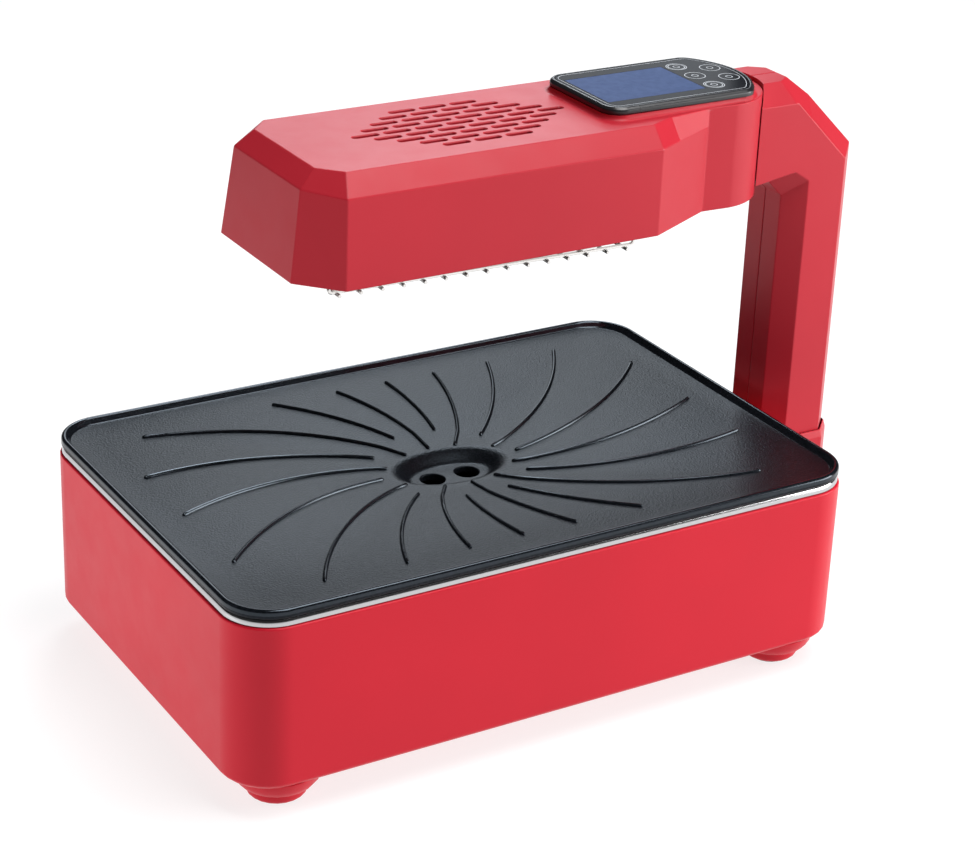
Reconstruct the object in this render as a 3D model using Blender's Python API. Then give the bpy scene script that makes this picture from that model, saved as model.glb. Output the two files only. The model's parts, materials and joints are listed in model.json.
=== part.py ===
"""Countertop infrared grill: a tub with a ribbed plate over a drip tray, and a lamp head on a swivel.

Metres, +Z up. The object stands on z = 0, and the origin is the middle of its footprint.
Places along X and Y are written from the middle of the tub, which the empty "grill_frame" carries.
"""

import bmesh
import bpy
import math
from mathutils import Matrix, Vector

# Clearances and cuts
GAP = 0.0003
OVERRUN = 0.004
SHARP_ANGLE = math.radians(32)

# Tub
BASE_LENGTH = 0.412
BASE_WIDTH = 0.276
BASE_CORNER = 0.030
BASE_BOTTOM = 0.020
BASE_HEIGHT = 0.1014
BASE_WALL = 0.004
BASE_EDGE = 0.003
CORNER_STEPS = 7
SIDE_STEPS = 5

# Feet, set in from the tub's sides
FOOT_INSET_X = 0.0345
FOOT_INSET_Y = 0.029
FOOT_BOWL_RADIUS = 0.026
FOOT_RING_RADIUS = 0.0178
FOOT_RING_HEIGHT = 0.0088
FOOT_SOLE_RADIUS = 0.0140
PAD_INSET = 0.0015
PAD_HEIGHT = 0.0015
FOOT_STEPS = 22
FOOT_EDGE_STEPS = 3

# Drip tray, hung in the tub by its rim
TRAY_INSET = 0.0022
TRAY_RIM_HEIGHT = 0.0046
TRAY_RIM_WIDTH = 0.0046
TRAY_WALL = 0.0012
TRAY_DEPTH = 0.0414
TRAY_DRAFT = 0.004
TRAY_BEAD = 0.0010
TRAY_PAN_CLEARANCE = 0.0015

# Grill plate, whose lip stands on the tray's rim
PLATE_INSET = 0.001
PLATE_LIP = 0.006
PLATE_RIM = 0.0036
PLATE_RIM_ROUND = 0.0013
PLATE_EDGE_DROP = 0.0038
PLATE_THICK = 0.0040
PLATE_SEAT = 0.0100
DISH_LENGTH = 0.080
DISH_WIDTH = 0.048
DISH_FLOOR_LENGTH = 0.050
DISH_FLOOR_WIDTH = 0.026
DISH_DROP = 0.0122
DISH_DEPTH = 0.0070
DISH_STEPS = 6
DRAIN_RADIUS = 0.0075
DRAIN_PITCH = 0.024
DRAIN_STEPS = 20

# Ribs of the plate, which leave the dish in a swirl
RIB_COUNT = 20
RIB_START_ANGLE = math.radians(-18)
RIB_SWIRL_PER_METRE = math.radians(145)
RIB_SWIRL_START = 0.046
RIB_SHORT_START = 0.046
RIB_LONG_CLEARANCE = 0.0015
RIB_FIELD_INSET_X = 0.026
RIB_FIELD_INSET_Y = 0.025
RIB_FIELD_CORNER = 0.050
RIB_FOOT_WIDTH = 0.0029
RIB_CREST_WIDTH = 0.0013
RIB_HEIGHT = 0.0017
RIB_ROOT = 0.0015
RIB_STATIONS = 8
RIB_END = 0.0016
RIB_END_SHARE = 0.5
BISECTIONS = 30
TINY_SHARE = 1e-6

# Swivel of the head
PIVOT_REACH = 0.0578
KNUCKLE_RADIUS = 0.0385
POCKET_CLEARANCE = 0.0011
KNUCKLE_STEPS = 24
SWIVEL_RANGE = math.radians(35)
SHAFT_RADIUS = 0.007
SHAFT_STEPS = 20
BUSH_WALL = 0.0025
BOSS_WALL = 0.004
WASHER_HEIGHT = 0.002

# Column, beside the tub
COLUMN_GAP = 0.0173
COLUMN_DEPTH = 0.0506
COLUMN_HALF_WIDTH = 0.0274
COLUMN_BEVEL = 0.0117
COLUMN_CROWN = 0.0025
COLUMN_SPLIT = 0.0004
HORN_START = 0.0195
HORN_LIFT = 0.0027
HORN_CORNER = 0.0107
HORN_SIDE_RISE = 0.0118
HORN_BLEND_RISE = 0.020
HORN_SIDE_DROP = 0.0121
TOP_FACE_INSET = 0.0100
TOP_FACE_TAPER = 0.0069
TOP_FACE_CUT_RUN = 0.0091
CORNER_CUT_RUN = 0.0506
CORNER_CUT_DROP = 0.0469
SHOULDER_RUN = 0.0362
SHOULDER_DROP = 0.0116
SIDE_CUT_BACK = 0.0016
SIDE_CUT_LAND = 0.0020
CORNER_SIDE_DROP = 0.0058

# Socket at the column's foot
SOCKET_STEP = 0.0030
SOCKET_TOP_DROP = 0.0194
SOCKET_LIFT = 0.006
SOCKET_CHAMFER = 0.005
SOCKET_DEPTH = 0.046

# Mast and pivot bracket inside the column
MAST_RADIUS = 0.010
MAST_WALL = 0.0016
MAST_STEPS = 20
CLAMP_WALL = 0.004
ARM_WIDTH = 0.008
ARM_LIFT = 0.0115
ARM_HEIGHT = 0.016
ARM_TRIM = 0.001
HUB_RADIUS = 0.0125
SLOT_CLEARANCE = 0.0012

# Cord gland in the socket
GLAND_LIFT = 0.014
GLAND_RADIUS = 0.0075
GLAND_FLANGE = 0.0105
GLAND_FLANGE_HEIGHT = 0.003
GLAND_LENGTH = 0.016
GLAND_BORE = 0.0038
GLAND_STEPS = 18

# Head, over the plate
HEAD_CLEARANCE = 0.1405
HEAD_HEIGHT = 0.0647
HEAD_CHAMFER = 0.0117
HEAD_WALL = 0.003
HEAD_HALF_WIDTH = 0.0608
HEAD_TOP_INSET = 0.0110
HEAD_REACH = 0.2716
SIDE_REACH = 0.0663
FACET_REACH = 0.0495
NECK_REACH = 0.0185
NECK_INSET = 0.0010
FACET_STEP = 0.0047
END_BOTTOM_RUN = 0.0254
END_BOTTOM_INSET = 0.0168
END_BOTTOM_RISE = 0.003
END_FOLD_RUN = 0.0184
END_FOLD_INSET = 0.0198
END_FOLD_RISE = 0.0022
TOP_SIDE_INSET = 0.0046
END_TOP_RUN = 0.0125
END_TOP_INSET = 0.0133

# Vent slots
VENT_ROWS = (3, 4, 5, 6, 7, 6, 5, 4, 3)
VENT_REACH = 0.1046
VENT_LENGTH = 0.0168
VENT_WIDTH = 0.0036
VENT_PITCH = 0.02045
VENT_ROW_PITCH = 0.0079
VENT_END_STEPS = 4

# Control panel
PANEL_LENGTH = 0.1175
PANEL_OVERHANG = 0.0290
PANEL_CORNER = 0.012
PANEL_END_RADIUS = 0.050
PANEL_END_FILLET = 0.010
PANEL_STEPS = 6
PANEL_RISE = 0.0078
PLINTH_HEIGHT = 0.0032
PLINTH_FLARE = 0.0016
BEZEL_EDGE = 0.0016
LENS_INSET = 0.0030
LENS_HEIGHT = 0.0016
SCREEN_INSET = 0.007
SCREEN_LENGTH = 0.069
SCREEN_WIDTH = 0.047
SCREEN_DEPTH = 0.0012
GLASS_SINK = 0.0002

# Neck cover
COVER_HEIGHT = 0.0028

# Reflector and lamps
REFLECTOR_END_SPACE = 0.0051
REFLECTOR_NECK_SPACE = 0.0087
REFLECTOR_LIFT = 0.0040
REFLECTOR_DEPTH = 0.0335
REFLECTOR_SHEET = 0.0012
REFLECTOR_LIP = 0.006
REFLECTOR_SLOPE = 0.020
LAMP_RADIUS = 0.0055
LAMP_DROP = 0.019
LAMP_STEPS = 16
HOLDER_LENGTH = 0.006
HOLDER_WALL = 0.004
HOLDER_END_SPACE = 0.0295
HOLDER_SIDE_SPACE = 0.0028

# Wire guard, which hangs a little lower at its neck end
GUARD_END_REACH = 0.0083
GUARD_NECK_SPACE = 0.0033
GUARD_SIDE_INSET = 0.0108
GUARD_DROP = 0.0036
GUARD_FALL = 0.0032
GUARD_ROD_RADIUS = 0.0012
GUARD_LOOP_HEIGHT = 0.004
GUARD_WIRE_RADIUS = 0.0011
GUARD_WIRE_COUNT = 15
GUARD_WIRE_REACH = 0.003
GUARD_WIRE_WELD = 0.0006
GUARD_WIRE_SPACE = 0.0035
WIRE_SIDES = 6
LOOP_STEPS = 4
CLIP_LENGTH = 0.010
CLIP_WIDTH = 0.006
CLIP_FLOOR = 0.0008
CLIP_END_SPACE = 0.030

# Colours, each with roughness and metallic value
LOOKS = {
    "red_plastic": ((0.64, 0.030, 0.048), 0.38, 0.0),
    "black_plate": ((0.018, 0.019, 0.021), 0.42, 0.1),
    "tray_steel": ((0.74, 0.74, 0.74), 0.24, 1.0),
    "mast_steel": ((0.55, 0.56, 0.58), 0.35, 1.0),
    "guard_steel": ((0.70, 0.68, 0.66), 0.30, 1.0),
    "reflector_aluminium": ((0.85, 0.85, 0.86), 0.15, 1.0),
    "black_plastic": ((0.012, 0.012, 0.014), 0.30, 0.0),
    "panel_glass": ((0.010, 0.011, 0.014), 0.08, 0.0),
    "screen_blue": ((0.075, 0.135, 0.330), 0.15, 0.0),
    "pad_rubber": ((0.030, 0.030, 0.030), 0.80, 0.0),
    "bush_nylon": ((0.75, 0.73, 0.68), 0.50, 0.0),
    "lamp_quartz": ((0.80, 0.72, 0.66), 0.10, 0.0),
    "holder_ceramic": ((0.86, 0.84, 0.80), 0.60, 0.0),
}

# Derived places of the tub, the tray and the plate
BASE_TOP = BASE_BOTTOM + BASE_HEIGHT
FOOT_X = BASE_LENGTH / 2 - FOOT_INSET_X
FOOT_Y = BASE_WIDTH / 2 - FOOT_INSET_Y
PAD_RADIUS = FOOT_SOLE_RADIUS - PAD_INSET
TRAY_RIM_TOP = BASE_TOP + TRAY_RIM_HEIGHT
TRAY_FLOOR = BASE_TOP - TRAY_DEPTH
PLATE_LENGTH = BASE_LENGTH - 2 * PLATE_INSET
PLATE_WIDTH = BASE_WIDTH - 2 * PLATE_INSET
PLATE_CORNER = BASE_CORNER - PLATE_INSET
PLATE_TOP = TRAY_RIM_TOP + PLATE_LIP
PLATE_EDGE_HEIGHT = PLATE_TOP - PLATE_EDGE_DROP
DISH_TOP = PLATE_TOP - DISH_DROP
DISH_FLOOR = DISH_TOP - DISH_DEPTH
RIB_FIELD_LENGTH = PLATE_LENGTH - 2 * RIB_FIELD_INSET_X
RIB_FIELD_WIDTH = PLATE_WIDTH - 2 * RIB_FIELD_INSET_Y
FIELD_LIMIT = RIB_FIELD_LENGTH + RIB_FIELD_WIDTH

# Derived places of the head
HEAD_BOTTOM = PLATE_TOP + HEAD_CLEARANCE
HEAD_TOP = HEAD_BOTTOM + HEAD_HEIGHT
HEAD_FOLD = HEAD_TOP - HEAD_CHAMFER

# Derived places of the column, the socket and the mast
COLUMN_INNER = BASE_LENGTH / 2 + COLUMN_GAP
COLUMN_OUTER = COLUMN_INNER + COLUMN_DEPTH
COLUMN_TOP = HEAD_TOP + COLUMN_CROWN
EDGE_HALF = COLUMN_HALF_WIDTH - COLUMN_BEVEL
HORN_UNDERSIDE = HEAD_BOTTOM + HORN_LIFT
TOP_FACE_HALF = COLUMN_HALF_WIDTH - TOP_FACE_INSET
CORNER_CUT_HALF = TOP_FACE_HALF - TOP_FACE_TAPER
CORNER_CUT_X = COLUMN_OUTER - CORNER_CUT_RUN
CORNER_CUT_Z = COLUMN_TOP - CORNER_CUT_DROP
SIDE_CUT_X = CORNER_CUT_X - SIDE_CUT_BACK
MAST_X = (COLUMN_INNER + COLUMN_OUTER) / 2
SOCKET_TOP = BASE_TOP - SOCKET_TOP_DROP
SOCKET_BOTTOM = BASE_BOTTOM + SOCKET_LIFT
SOCKET_FLOOR = SOCKET_TOP - SOCKET_DEPTH
GLAND_Z = SOCKET_BOTTOM + GLAND_LIFT
FRAME_X = -(COLUMN_OUTER + SOCKET_STEP - BASE_LENGTH / 2) / 2

# Derived places of the swivel
PIVOT_X = COLUMN_INNER - PIVOT_REACH
HORN_FULL_X = PIVOT_X + HORN_START
POCKET_RADIUS = KNUCKLE_RADIUS + POCKET_CLEARANCE
BUSH_RADIUS = SHAFT_RADIUS + GAP + BUSH_WALL
BOSS_BORE = BUSH_RADIUS + GAP
BOSS_RADIUS = BOSS_BORE + BOSS_WALL
BOSS_ROOF = HEAD_TOP - HEAD_WALL
ARM_BOTTOM = HEAD_BOTTOM + ARM_LIFT
ARM_TOP = ARM_BOTTOM + ARM_HEIGHT
BOSS_BOTTOM = ARM_TOP + WASHER_HEIGHT + 2 * GAP
HEAD_PLACE = (-PIVOT_X, 0, 0)

# Derived plan of the head
HEAD_SIDE_LEFT = PIVOT_X - HEAD_REACH
HEAD_SIDE_RIGHT = PIVOT_X - SIDE_REACH
HEAD_FACET_X = PIVOT_X - FACET_REACH
HEAD_NECK_X = PIVOT_X - NECK_REACH
HEAD_NECK_HALF = KNUCKLE_RADIUS - NECK_INSET
HEAD_FACET_HALF = HEAD_NECK_HALF + FACET_STEP
HEAD_TOP_HALF_WIDTH = HEAD_HALF_WIDTH - HEAD_TOP_INSET
END_BOTTOM_X = HEAD_SIDE_LEFT - END_BOTTOM_RUN
END_BOTTOM_HALF = HEAD_HALF_WIDTH - END_BOTTOM_INSET
END_FOLD_X = HEAD_SIDE_LEFT - END_FOLD_RUN
END_FOLD_HALF = HEAD_HALF_WIDTH - END_FOLD_INSET
TOP_SIDE_LEFT = HEAD_SIDE_LEFT + TOP_SIDE_INSET
END_TOP_X = TOP_SIDE_LEFT - END_TOP_RUN
END_TOP_HALF = HEAD_TOP_HALF_WIDTH - END_TOP_INSET
VENT_X = HEAD_SIDE_LEFT + VENT_REACH

# Derived places of the panel and the neck cover
PANEL_HALF_WIDTH = HEAD_NECK_HALF
PANEL_RIGHT = PIVOT_X + PANEL_OVERHANG
PANEL_LEFT = PANEL_RIGHT - PANEL_LENGTH
PANEL_TOP = HEAD_TOP + PANEL_RISE
SCREEN_LEFT = PANEL_LEFT + SCREEN_INSET
PLINTH_TOP = HEAD_TOP + PLINTH_HEIGHT
BEZEL_BOTTOM = PLINTH_TOP + GAP
COVER_BOTTOM = HEAD_BOTTOM + GAP
COVER_TOP = COVER_BOTTOM + COVER_HEIGHT

# Derived places of the reflector, the lamps and the guard
REFLECTOR_LEFT = HEAD_SIDE_LEFT + REFLECTOR_END_SPACE
REFLECTOR_RIGHT = HEAD_SIDE_RIGHT - REFLECTOR_NECK_SPACE
REFLECTOR_BOTTOM = HEAD_BOTTOM + REFLECTOR_LIFT
REFLECTOR_TOP = REFLECTOR_BOTTOM + REFLECTOR_DEPTH
REFLECTOR_HALF = HEAD_HALF_WIDTH - HEAD_WALL - GAP
HOLDER_HALF = REFLECTOR_HALF - REFLECTOR_LIP - REFLECTOR_SLOPE - REFLECTOR_SHEET - HOLDER_SIDE_SPACE
LAMP_Y = HOLDER_HALF - HOLDER_WALL - LAMP_RADIUS
LAMP_Z = REFLECTOR_TOP - LAMP_DROP
GUARD_LEFT = REFLECTOR_LEFT - GUARD_END_REACH
GUARD_RIGHT = REFLECTOR_RIGHT - GUARD_NECK_SPACE
GUARD_SIDE_Y = HEAD_HALF_WIDTH - GUARD_SIDE_INSET


def clear_scene():
    """Take every object out of the open scene."""
    for item in list(bpy.data.objects):
        bpy.data.objects.remove(item, do_unlink=True)


def look(name):
    """The Principled material of that name, made once."""
    material = bpy.data.materials.get(name)
    if material:
        return material
    colour, roughness, metallic = LOOKS[name]
    material = bpy.data.materials.new(name)
    material.use_nodes = True
    shader = material.node_tree.nodes["Principled BSDF"]
    shader.inputs["Base Color"].default_value = (*colour, 1.0)
    shader.inputs["Roughness"].default_value = roughness
    shader.inputs["Metallic"].default_value = metallic
    material.diffuse_color = (*colour, 1.0)
    return material


def empty(name, place, parent=None):
    """A frame that other objects ride."""
    frame = bpy.data.objects.new(name, None)
    frame.location = place
    frame.parent = parent
    bpy.context.scene.collection.objects.link(frame)
    return frame


def piece(name, bm, material, parent, place=(0, 0, 0)):
    """One named solid from a bmesh drawn about its own origin."""
    bmesh.ops.recalc_face_normals(bm, faces=bm.faces)
    mesh = bpy.data.meshes.new(name)
    bm.to_mesh(mesh)
    bm.free()
    mesh.shade_smooth()
    mesh.set_sharp_from_angle(angle=SHARP_ANGLE)
    mesh.materials.append(look(material))
    item = bpy.data.objects.new(name, mesh)
    item.parent = parent
    item.location = place
    bpy.context.scene.collection.objects.link(item)
    return item


def boolean(item, bm, operation):
    """Cut or join a piece by a hidden tool drawn in the piece's own frame."""
    tool = piece(f"{item.name}_tool", bm, item.data.materials[0].name, item.parent, item.location)
    tool.hide_render = True
    tool.display_type = "WIRE"
    step = item.modifiers.new(tool.name, "BOOLEAN")
    step.object = tool
    step.operation = operation
    step.solver = "EXACT"
    return tool


def loft(bm, rings):
    """A closed body through rings of equally many points, capped at both ends."""
    rows = [[bm.verts.new(point) for point in ring] for ring in rings]
    count = len(rows[0])
    for low, high in zip(rows, rows[1:]):
        for index in range(count):
            after = (index + 1) % count
            bm.faces.new((low[index], low[after], high[after], high[index]))
    bm.faces.new(list(reversed(rows[0])))
    bm.faces.new(rows[-1])


def at_height(outline, height):
    """A flat ring from an outline in plan."""
    return [(x, y, height) for x, y in outline]


def prism(bm, outline, bottom, top):
    """An outline in plan between two heights."""
    loft(bm, [at_height(outline, bottom), at_height(outline, top)])


def arc(centre, radius, start, end, steps):
    """Points of an arc in plan, with both ends."""
    angles = [start + (end - start) * step / steps for step in range(steps + 1)]
    return [(centre[0] + radius * math.cos(angle), centre[1] + radius * math.sin(angle)) for angle in angles]


def circle(centre, radius, steps):
    """Points of a circle in plan."""
    return arc(centre, radius, 0, 2 * math.pi, steps)[:-1]


def turned(bm, profile, steps, centre=(0, 0)):
    """A body turned about a vertical line, from (radius, height) pairs, bottom or inside first."""
    loft(bm, [at_height(circle(centre, radius, steps), height) for radius, height in profile])


def turned_ring(bm, profile, steps, centre=(0, 0)):
    """A ring turned about a vertical line from a closed profile of (radius, height) pairs."""
    rows = [[bm.verts.new(point) for point in at_height(circle(centre, radius, steps), height)]
            for radius, height in profile]
    for low, high in zip(rows, rows[1:] + rows[:1]):
        for index in range(steps):
            after = (index + 1) % steps
            bm.faces.new((low[index], low[after], high[after], high[index]))


def sleeve(bm, inner, outer, bottom, top, steps, centre=(0, 0)):
    """A vertical tube."""
    turned_ring(bm, [(outer, bottom), (outer, top), (inner, top), (inner, bottom)], steps, centre)


def box(bm, low, high):
    """A rectangular block between two corners."""
    outline = [(low[0], low[1]), (high[0], low[1]), (high[0], high[1]), (low[0], high[1])]
    prism(bm, outline, low[2], high[2])


def rounded_rectangle(length, width, radius, corner_steps=CORNER_STEPS, side_steps=SIDE_STEPS):
    """Corner arcs joined by sides that carry points in between."""
    across, along = length / 2 - radius, width / 2 - radius
    centres = ((across, along), (-across, along), (-across, -along), (across, -along))
    points = []
    for quarter, centre in enumerate(centres):
        start = quarter * math.pi / 2
        points += arc(centre, radius, start, start + math.pi / 2, corner_steps)
    closed = points + points[:1]
    outline = []
    for index, point in enumerate(points):
        outline.append(point)
        if (index + 1) % (corner_steps + 1) == 0:
            after = closed[index + 1]
            for step in range(1, side_steps):
                share = step / side_steps
                outline.append(tuple(a + (b - a) * share for a, b in zip(point, after)))
    return outline


def inset(outline, distance):
    """An outline that runs anticlockwise, moved inwards by a distance."""
    moved = []
    for index, point in enumerate(outline):
        here = Vector(point)
        back = here - Vector(outline[index - 1])
        ahead = Vector(outline[(index + 1) % len(outline)]) - here
        first = Vector((-back.y, back.x)).normalized()
        second = Vector((-ahead.y, ahead.x)).normalized()
        middle = (first + second) / (1 + first.dot(second))
        moved.append(tuple(here + middle * distance))
    return moved


def rod(bm, start, end, radius, sides):
    """A straight round bar between two points."""
    line = Vector(end) - Vector(start)
    turn = line.to_track_quat("Z", "Y").to_matrix().to_4x4()
    place = Matrix.Translation(start) @ turn
    rings = []
    for height in (0, line.length):
        rings.append([place @ Vector((x, y, height)) for x, y in circle((0, 0), radius, sides)])
    loft(bm, rings)


def base_outline(inwards=0, side_steps=1):
    """The tub's outline in plan, or a smaller one inside it."""
    outline = rounded_rectangle(BASE_LENGTH, BASE_WIDTH, BASE_CORNER, CORNER_STEPS, side_steps)
    return inset(outline, inwards) if inwards else outline


def tub(frame):
    """Open tub with a thick wall, whose top edge carries the tray."""
    bm = bmesh.new()
    loft(bm, [
        at_height(base_outline(BASE_EDGE), BASE_BOTTOM),
        at_height(base_outline(), BASE_BOTTOM + BASE_EDGE),
        at_height(base_outline(), BASE_TOP),
        at_height(base_outline(BASE_WALL), BASE_TOP),
        at_height(base_outline(BASE_WALL), BASE_BOTTOM + BASE_WALL),
    ])
    piece("base_housing", bm, "red_plastic", frame)


def foot_profile():
    """Sole, rounded edge, ring and bowl of a foot, from the bottom up."""
    bottom = PAD_HEIGHT + GAP
    top = BASE_BOTTOM - GAP
    edge = FOOT_RING_RADIUS - FOOT_SOLE_RADIUS
    quarter = [math.pi / 2 * step / FOOT_EDGE_STEPS for step in range(FOOT_EDGE_STEPS + 1)]
    profile = [(FOOT_SOLE_RADIUS + edge * math.sin(a), bottom + edge * (1 - math.cos(a))) for a in quarter]
    flare = FOOT_BOWL_RADIUS - FOOT_RING_RADIUS
    rise = top - FOOT_RING_HEIGHT
    for a in quarter:
        profile.append((FOOT_RING_RADIUS + flare * math.sin(a), FOOT_RING_HEIGHT + rise * (1 - math.cos(a))))
    return profile


def feet(frame):
    """Four bowl-shaped feet, each on a rubber pad."""
    corners = {"front_left": (-1, -1), "front_right": (1, -1), "rear_left": (-1, 1), "rear_right": (1, 1)}
    for corner, (along, across) in corners.items():
        place = (along * FOOT_X, across * FOOT_Y, 0)
        bm = bmesh.new()
        turned(bm, foot_profile(), FOOT_STEPS)
        piece(f"foot_{corner}", bm, "red_plastic", frame, place)
        bm = bmesh.new()
        turned(bm, [(PAD_RADIUS, 0), (PAD_RADIUS, PAD_HEIGHT)], FOOT_STEPS)
        piece(f"foot_pad_{corner}", bm, "pad_rubber", frame, place)


def tray(frame):
    """Pressed pan whose rolled rim rests on the tub's top edge."""
    seat = BASE_TOP + GAP
    wall = BASE_WALL + TRAY_PAN_CLEARANCE
    lip = TRAY_INSET + TRAY_RIM_WIDTH
    bm = bmesh.new()
    loft(bm, [
        at_height(base_outline(wall + TRAY_DRAFT), TRAY_FLOOR),
        at_height(base_outline(wall), seat),
        at_height(base_outline(TRAY_INSET), seat),
        at_height(base_outline(TRAY_INSET), TRAY_RIM_TOP - TRAY_BEAD),
        at_height(base_outline(TRAY_INSET + TRAY_BEAD), TRAY_RIM_TOP),
        at_height(base_outline(lip), TRAY_RIM_TOP),
        at_height(base_outline(lip + TRAY_DRAFT), TRAY_FLOOR + TRAY_WALL),
    ])
    piece("drip_tray", bm, "tray_steel", frame)


def plate_ring(inwards, height):
    """A ring that follows the plate's outline."""
    outline = rounded_rectangle(PLATE_LENGTH, PLATE_WIDTH, PLATE_CORNER)
    return at_height(inset(outline, inwards) if inwards else outline, height)


def dish_ring(length, width, height):
    """An oval ring with as many points as the plate's outline has."""
    ring = []
    for x, y in rounded_rectangle(PLATE_LENGTH, PLATE_WIDTH, PLATE_CORNER):
        angle = math.atan2(y / PLATE_WIDTH, x / PLATE_LENGTH)
        ring.append((length / 2 * math.cos(angle), width / 2 * math.sin(angle), height))
    return ring


def oval_reach(angle, length, width):
    """Distance from the middle to an oval's edge."""
    across = math.hypot(width * math.cos(angle), length * math.sin(angle))
    return length * width / across / 2


def field_reach(angle):
    """Distance from the middle to the rounded rectangle where the ribs end."""
    low, high = 0, FIELD_LIMIT
    for _ in range(BISECTIONS):
        middle = (low + high) / 2
        over_x = abs(middle * math.cos(angle)) - (RIB_FIELD_LENGTH / 2 - RIB_FIELD_CORNER)
        over_y = abs(middle * math.sin(angle)) - (RIB_FIELD_WIDTH / 2 - RIB_FIELD_CORNER)
        beyond = math.hypot(max(over_x, 0), max(over_y, 0)) > RIB_FIELD_CORNER
        low, high = (low, middle) if beyond else (middle, high)
    return low


def cooking_height(x, y):
    """Height of the sloping cooking surface."""
    angle = math.atan2(y, x)
    inner = oval_reach(angle, DISH_LENGTH, DISH_WIDTH)
    half_x = PLATE_LENGTH / 2 - PLATE_RIM - PLATE_RIM_ROUND
    half_y = PLATE_WIDTH / 2 - PLATE_RIM - PLATE_RIM_ROUND
    along, across = abs(math.cos(angle)), abs(math.sin(angle))
    outer = min(half_x / max(along, TINY_SHARE), half_y / max(across, TINY_SHARE))
    share = (math.hypot(x, y) - inner) / (outer - inner)
    return DISH_TOP + (PLATE_EDGE_HEIGHT - DISH_TOP) * min(max(share, 0), 1)


def rib_angle(start, reach):
    """Direction of a rib's point at a distance from the middle."""
    return start + RIB_SWIRL_PER_METRE * max(0, reach - RIB_SWIRL_START)


def rib(bm, number):
    """One curved rib: every other one reaches in to the dish."""
    start = RIB_START_ANGLE + 2 * math.pi * number / RIB_COUNT
    begin = RIB_SHORT_START
    if number % 2 == 0:
        begin = oval_reach(start, DISH_LENGTH, DISH_WIDTH) + RIB_LONG_CLEARANCE
    end = field_reach(start)
    for _ in range(RIB_STATIONS):
        end = field_reach(rib_angle(start, end))
    inner, outer = begin + RIB_END, end - RIB_END
    reaches = [inner + (outer - inner) * step / (RIB_STATIONS - 1) for step in range(RIB_STATIONS)]
    shares = [1] * RIB_STATIONS
    rings = []
    for reach, share in zip([begin] + reaches + [end], [RIB_END_SHARE] + shares + [RIB_END_SHARE]):
        angle = rib_angle(start, reach)
        here = Vector((math.cos(angle), math.sin(angle))) * reach
        turn = angle + (math.atan(RIB_SWIRL_PER_METRE * reach) if reach > RIB_SWIRL_START else 0)
        side = Vector((-math.sin(turn), math.cos(turn)))
        base = cooking_height(here.x, here.y)
        ring = []
        crest = RIB_CREST_WIDTH * share, base + RIB_HEIGHT * share
        for width, height in ((RIB_FOOT_WIDTH * share, base - RIB_ROOT), crest):
            ends = [here + side * width / 2, here - side * width / 2]
            ring.append([(point.x, point.y, height) for point in ends])
        rings.append([ring[0][0], ring[0][1], ring[1][1], ring[1][0]])
    loft(bm, rings)


def plate(frame):
    """Cast plate: a lip round a surface that falls to an oval dish with two drains, and swirling ribs."""
    seat = TRAY_RIM_TOP + GAP
    under = PLATE_THICK
    dish = []
    for step in range(DISH_STEPS + 1):
        share = step / DISH_STEPS
        length = DISH_LENGTH + (DISH_FLOOR_LENGTH - DISH_LENGTH) * share
        width = DISH_WIDTH + (DISH_FLOOR_WIDTH - DISH_WIDTH) * share
        fall = (1 - math.cos(math.pi * share)) / 2
        dish.append(dish_ring(length, width, DISH_TOP + (DISH_FLOOR - DISH_TOP) * fall))
    bm = bmesh.new()
    loft(bm, [
        dish_ring(DISH_FLOOR_LENGTH + under, DISH_FLOOR_WIDTH + under, DISH_FLOOR - under),
        dish_ring(DISH_LENGTH + 2 * under, DISH_WIDTH + 2 * under, DISH_TOP - under),
        plate_ring(PLATE_SEAT, PLATE_EDGE_HEIGHT - under),
        plate_ring(PLATE_SEAT, seat),
        plate_ring(PLATE_RIM_ROUND, seat),
        plate_ring(0, seat + PLATE_RIM_ROUND),
        plate_ring(0, PLATE_TOP - PLATE_RIM_ROUND),
        plate_ring(PLATE_RIM_ROUND, PLATE_TOP),
        plate_ring(PLATE_RIM, PLATE_TOP),
        plate_ring(PLATE_RIM + PLATE_RIM_ROUND, PLATE_EDGE_HEIGHT),
    ] + dish)
    body = piece("grill_plate", bm, "black_plate", frame)
    bm = bmesh.new()
    for number in range(RIB_COUNT):
        rib(bm, number)
    boolean(body, bm, "UNION")
    bm = bmesh.new()
    for side in (-1, 1):
        outline = circle((side * DRAIN_PITCH / 2, 0), DRAIN_RADIUS, DRAIN_STEPS)
        prism(bm, outline, DISH_FLOOR - under - OVERRUN, DISH_TOP)
    boolean(body, bm, "DIFFERENCE")


def column_section():
    """Plan of the column: a rectangle with bevelled corners, anticlockwise."""
    inner, outer = COLUMN_INNER, COLUMN_OUTER
    half, edge, bevel = COLUMN_HALF_WIDTH, EDGE_HALF, COLUMN_BEVEL
    rear = [(outer, edge), (outer - bevel, half), (inner + bevel, half), (inner, edge)]
    return rear + [(x, -y) for x, y in reversed(rear)]


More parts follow.
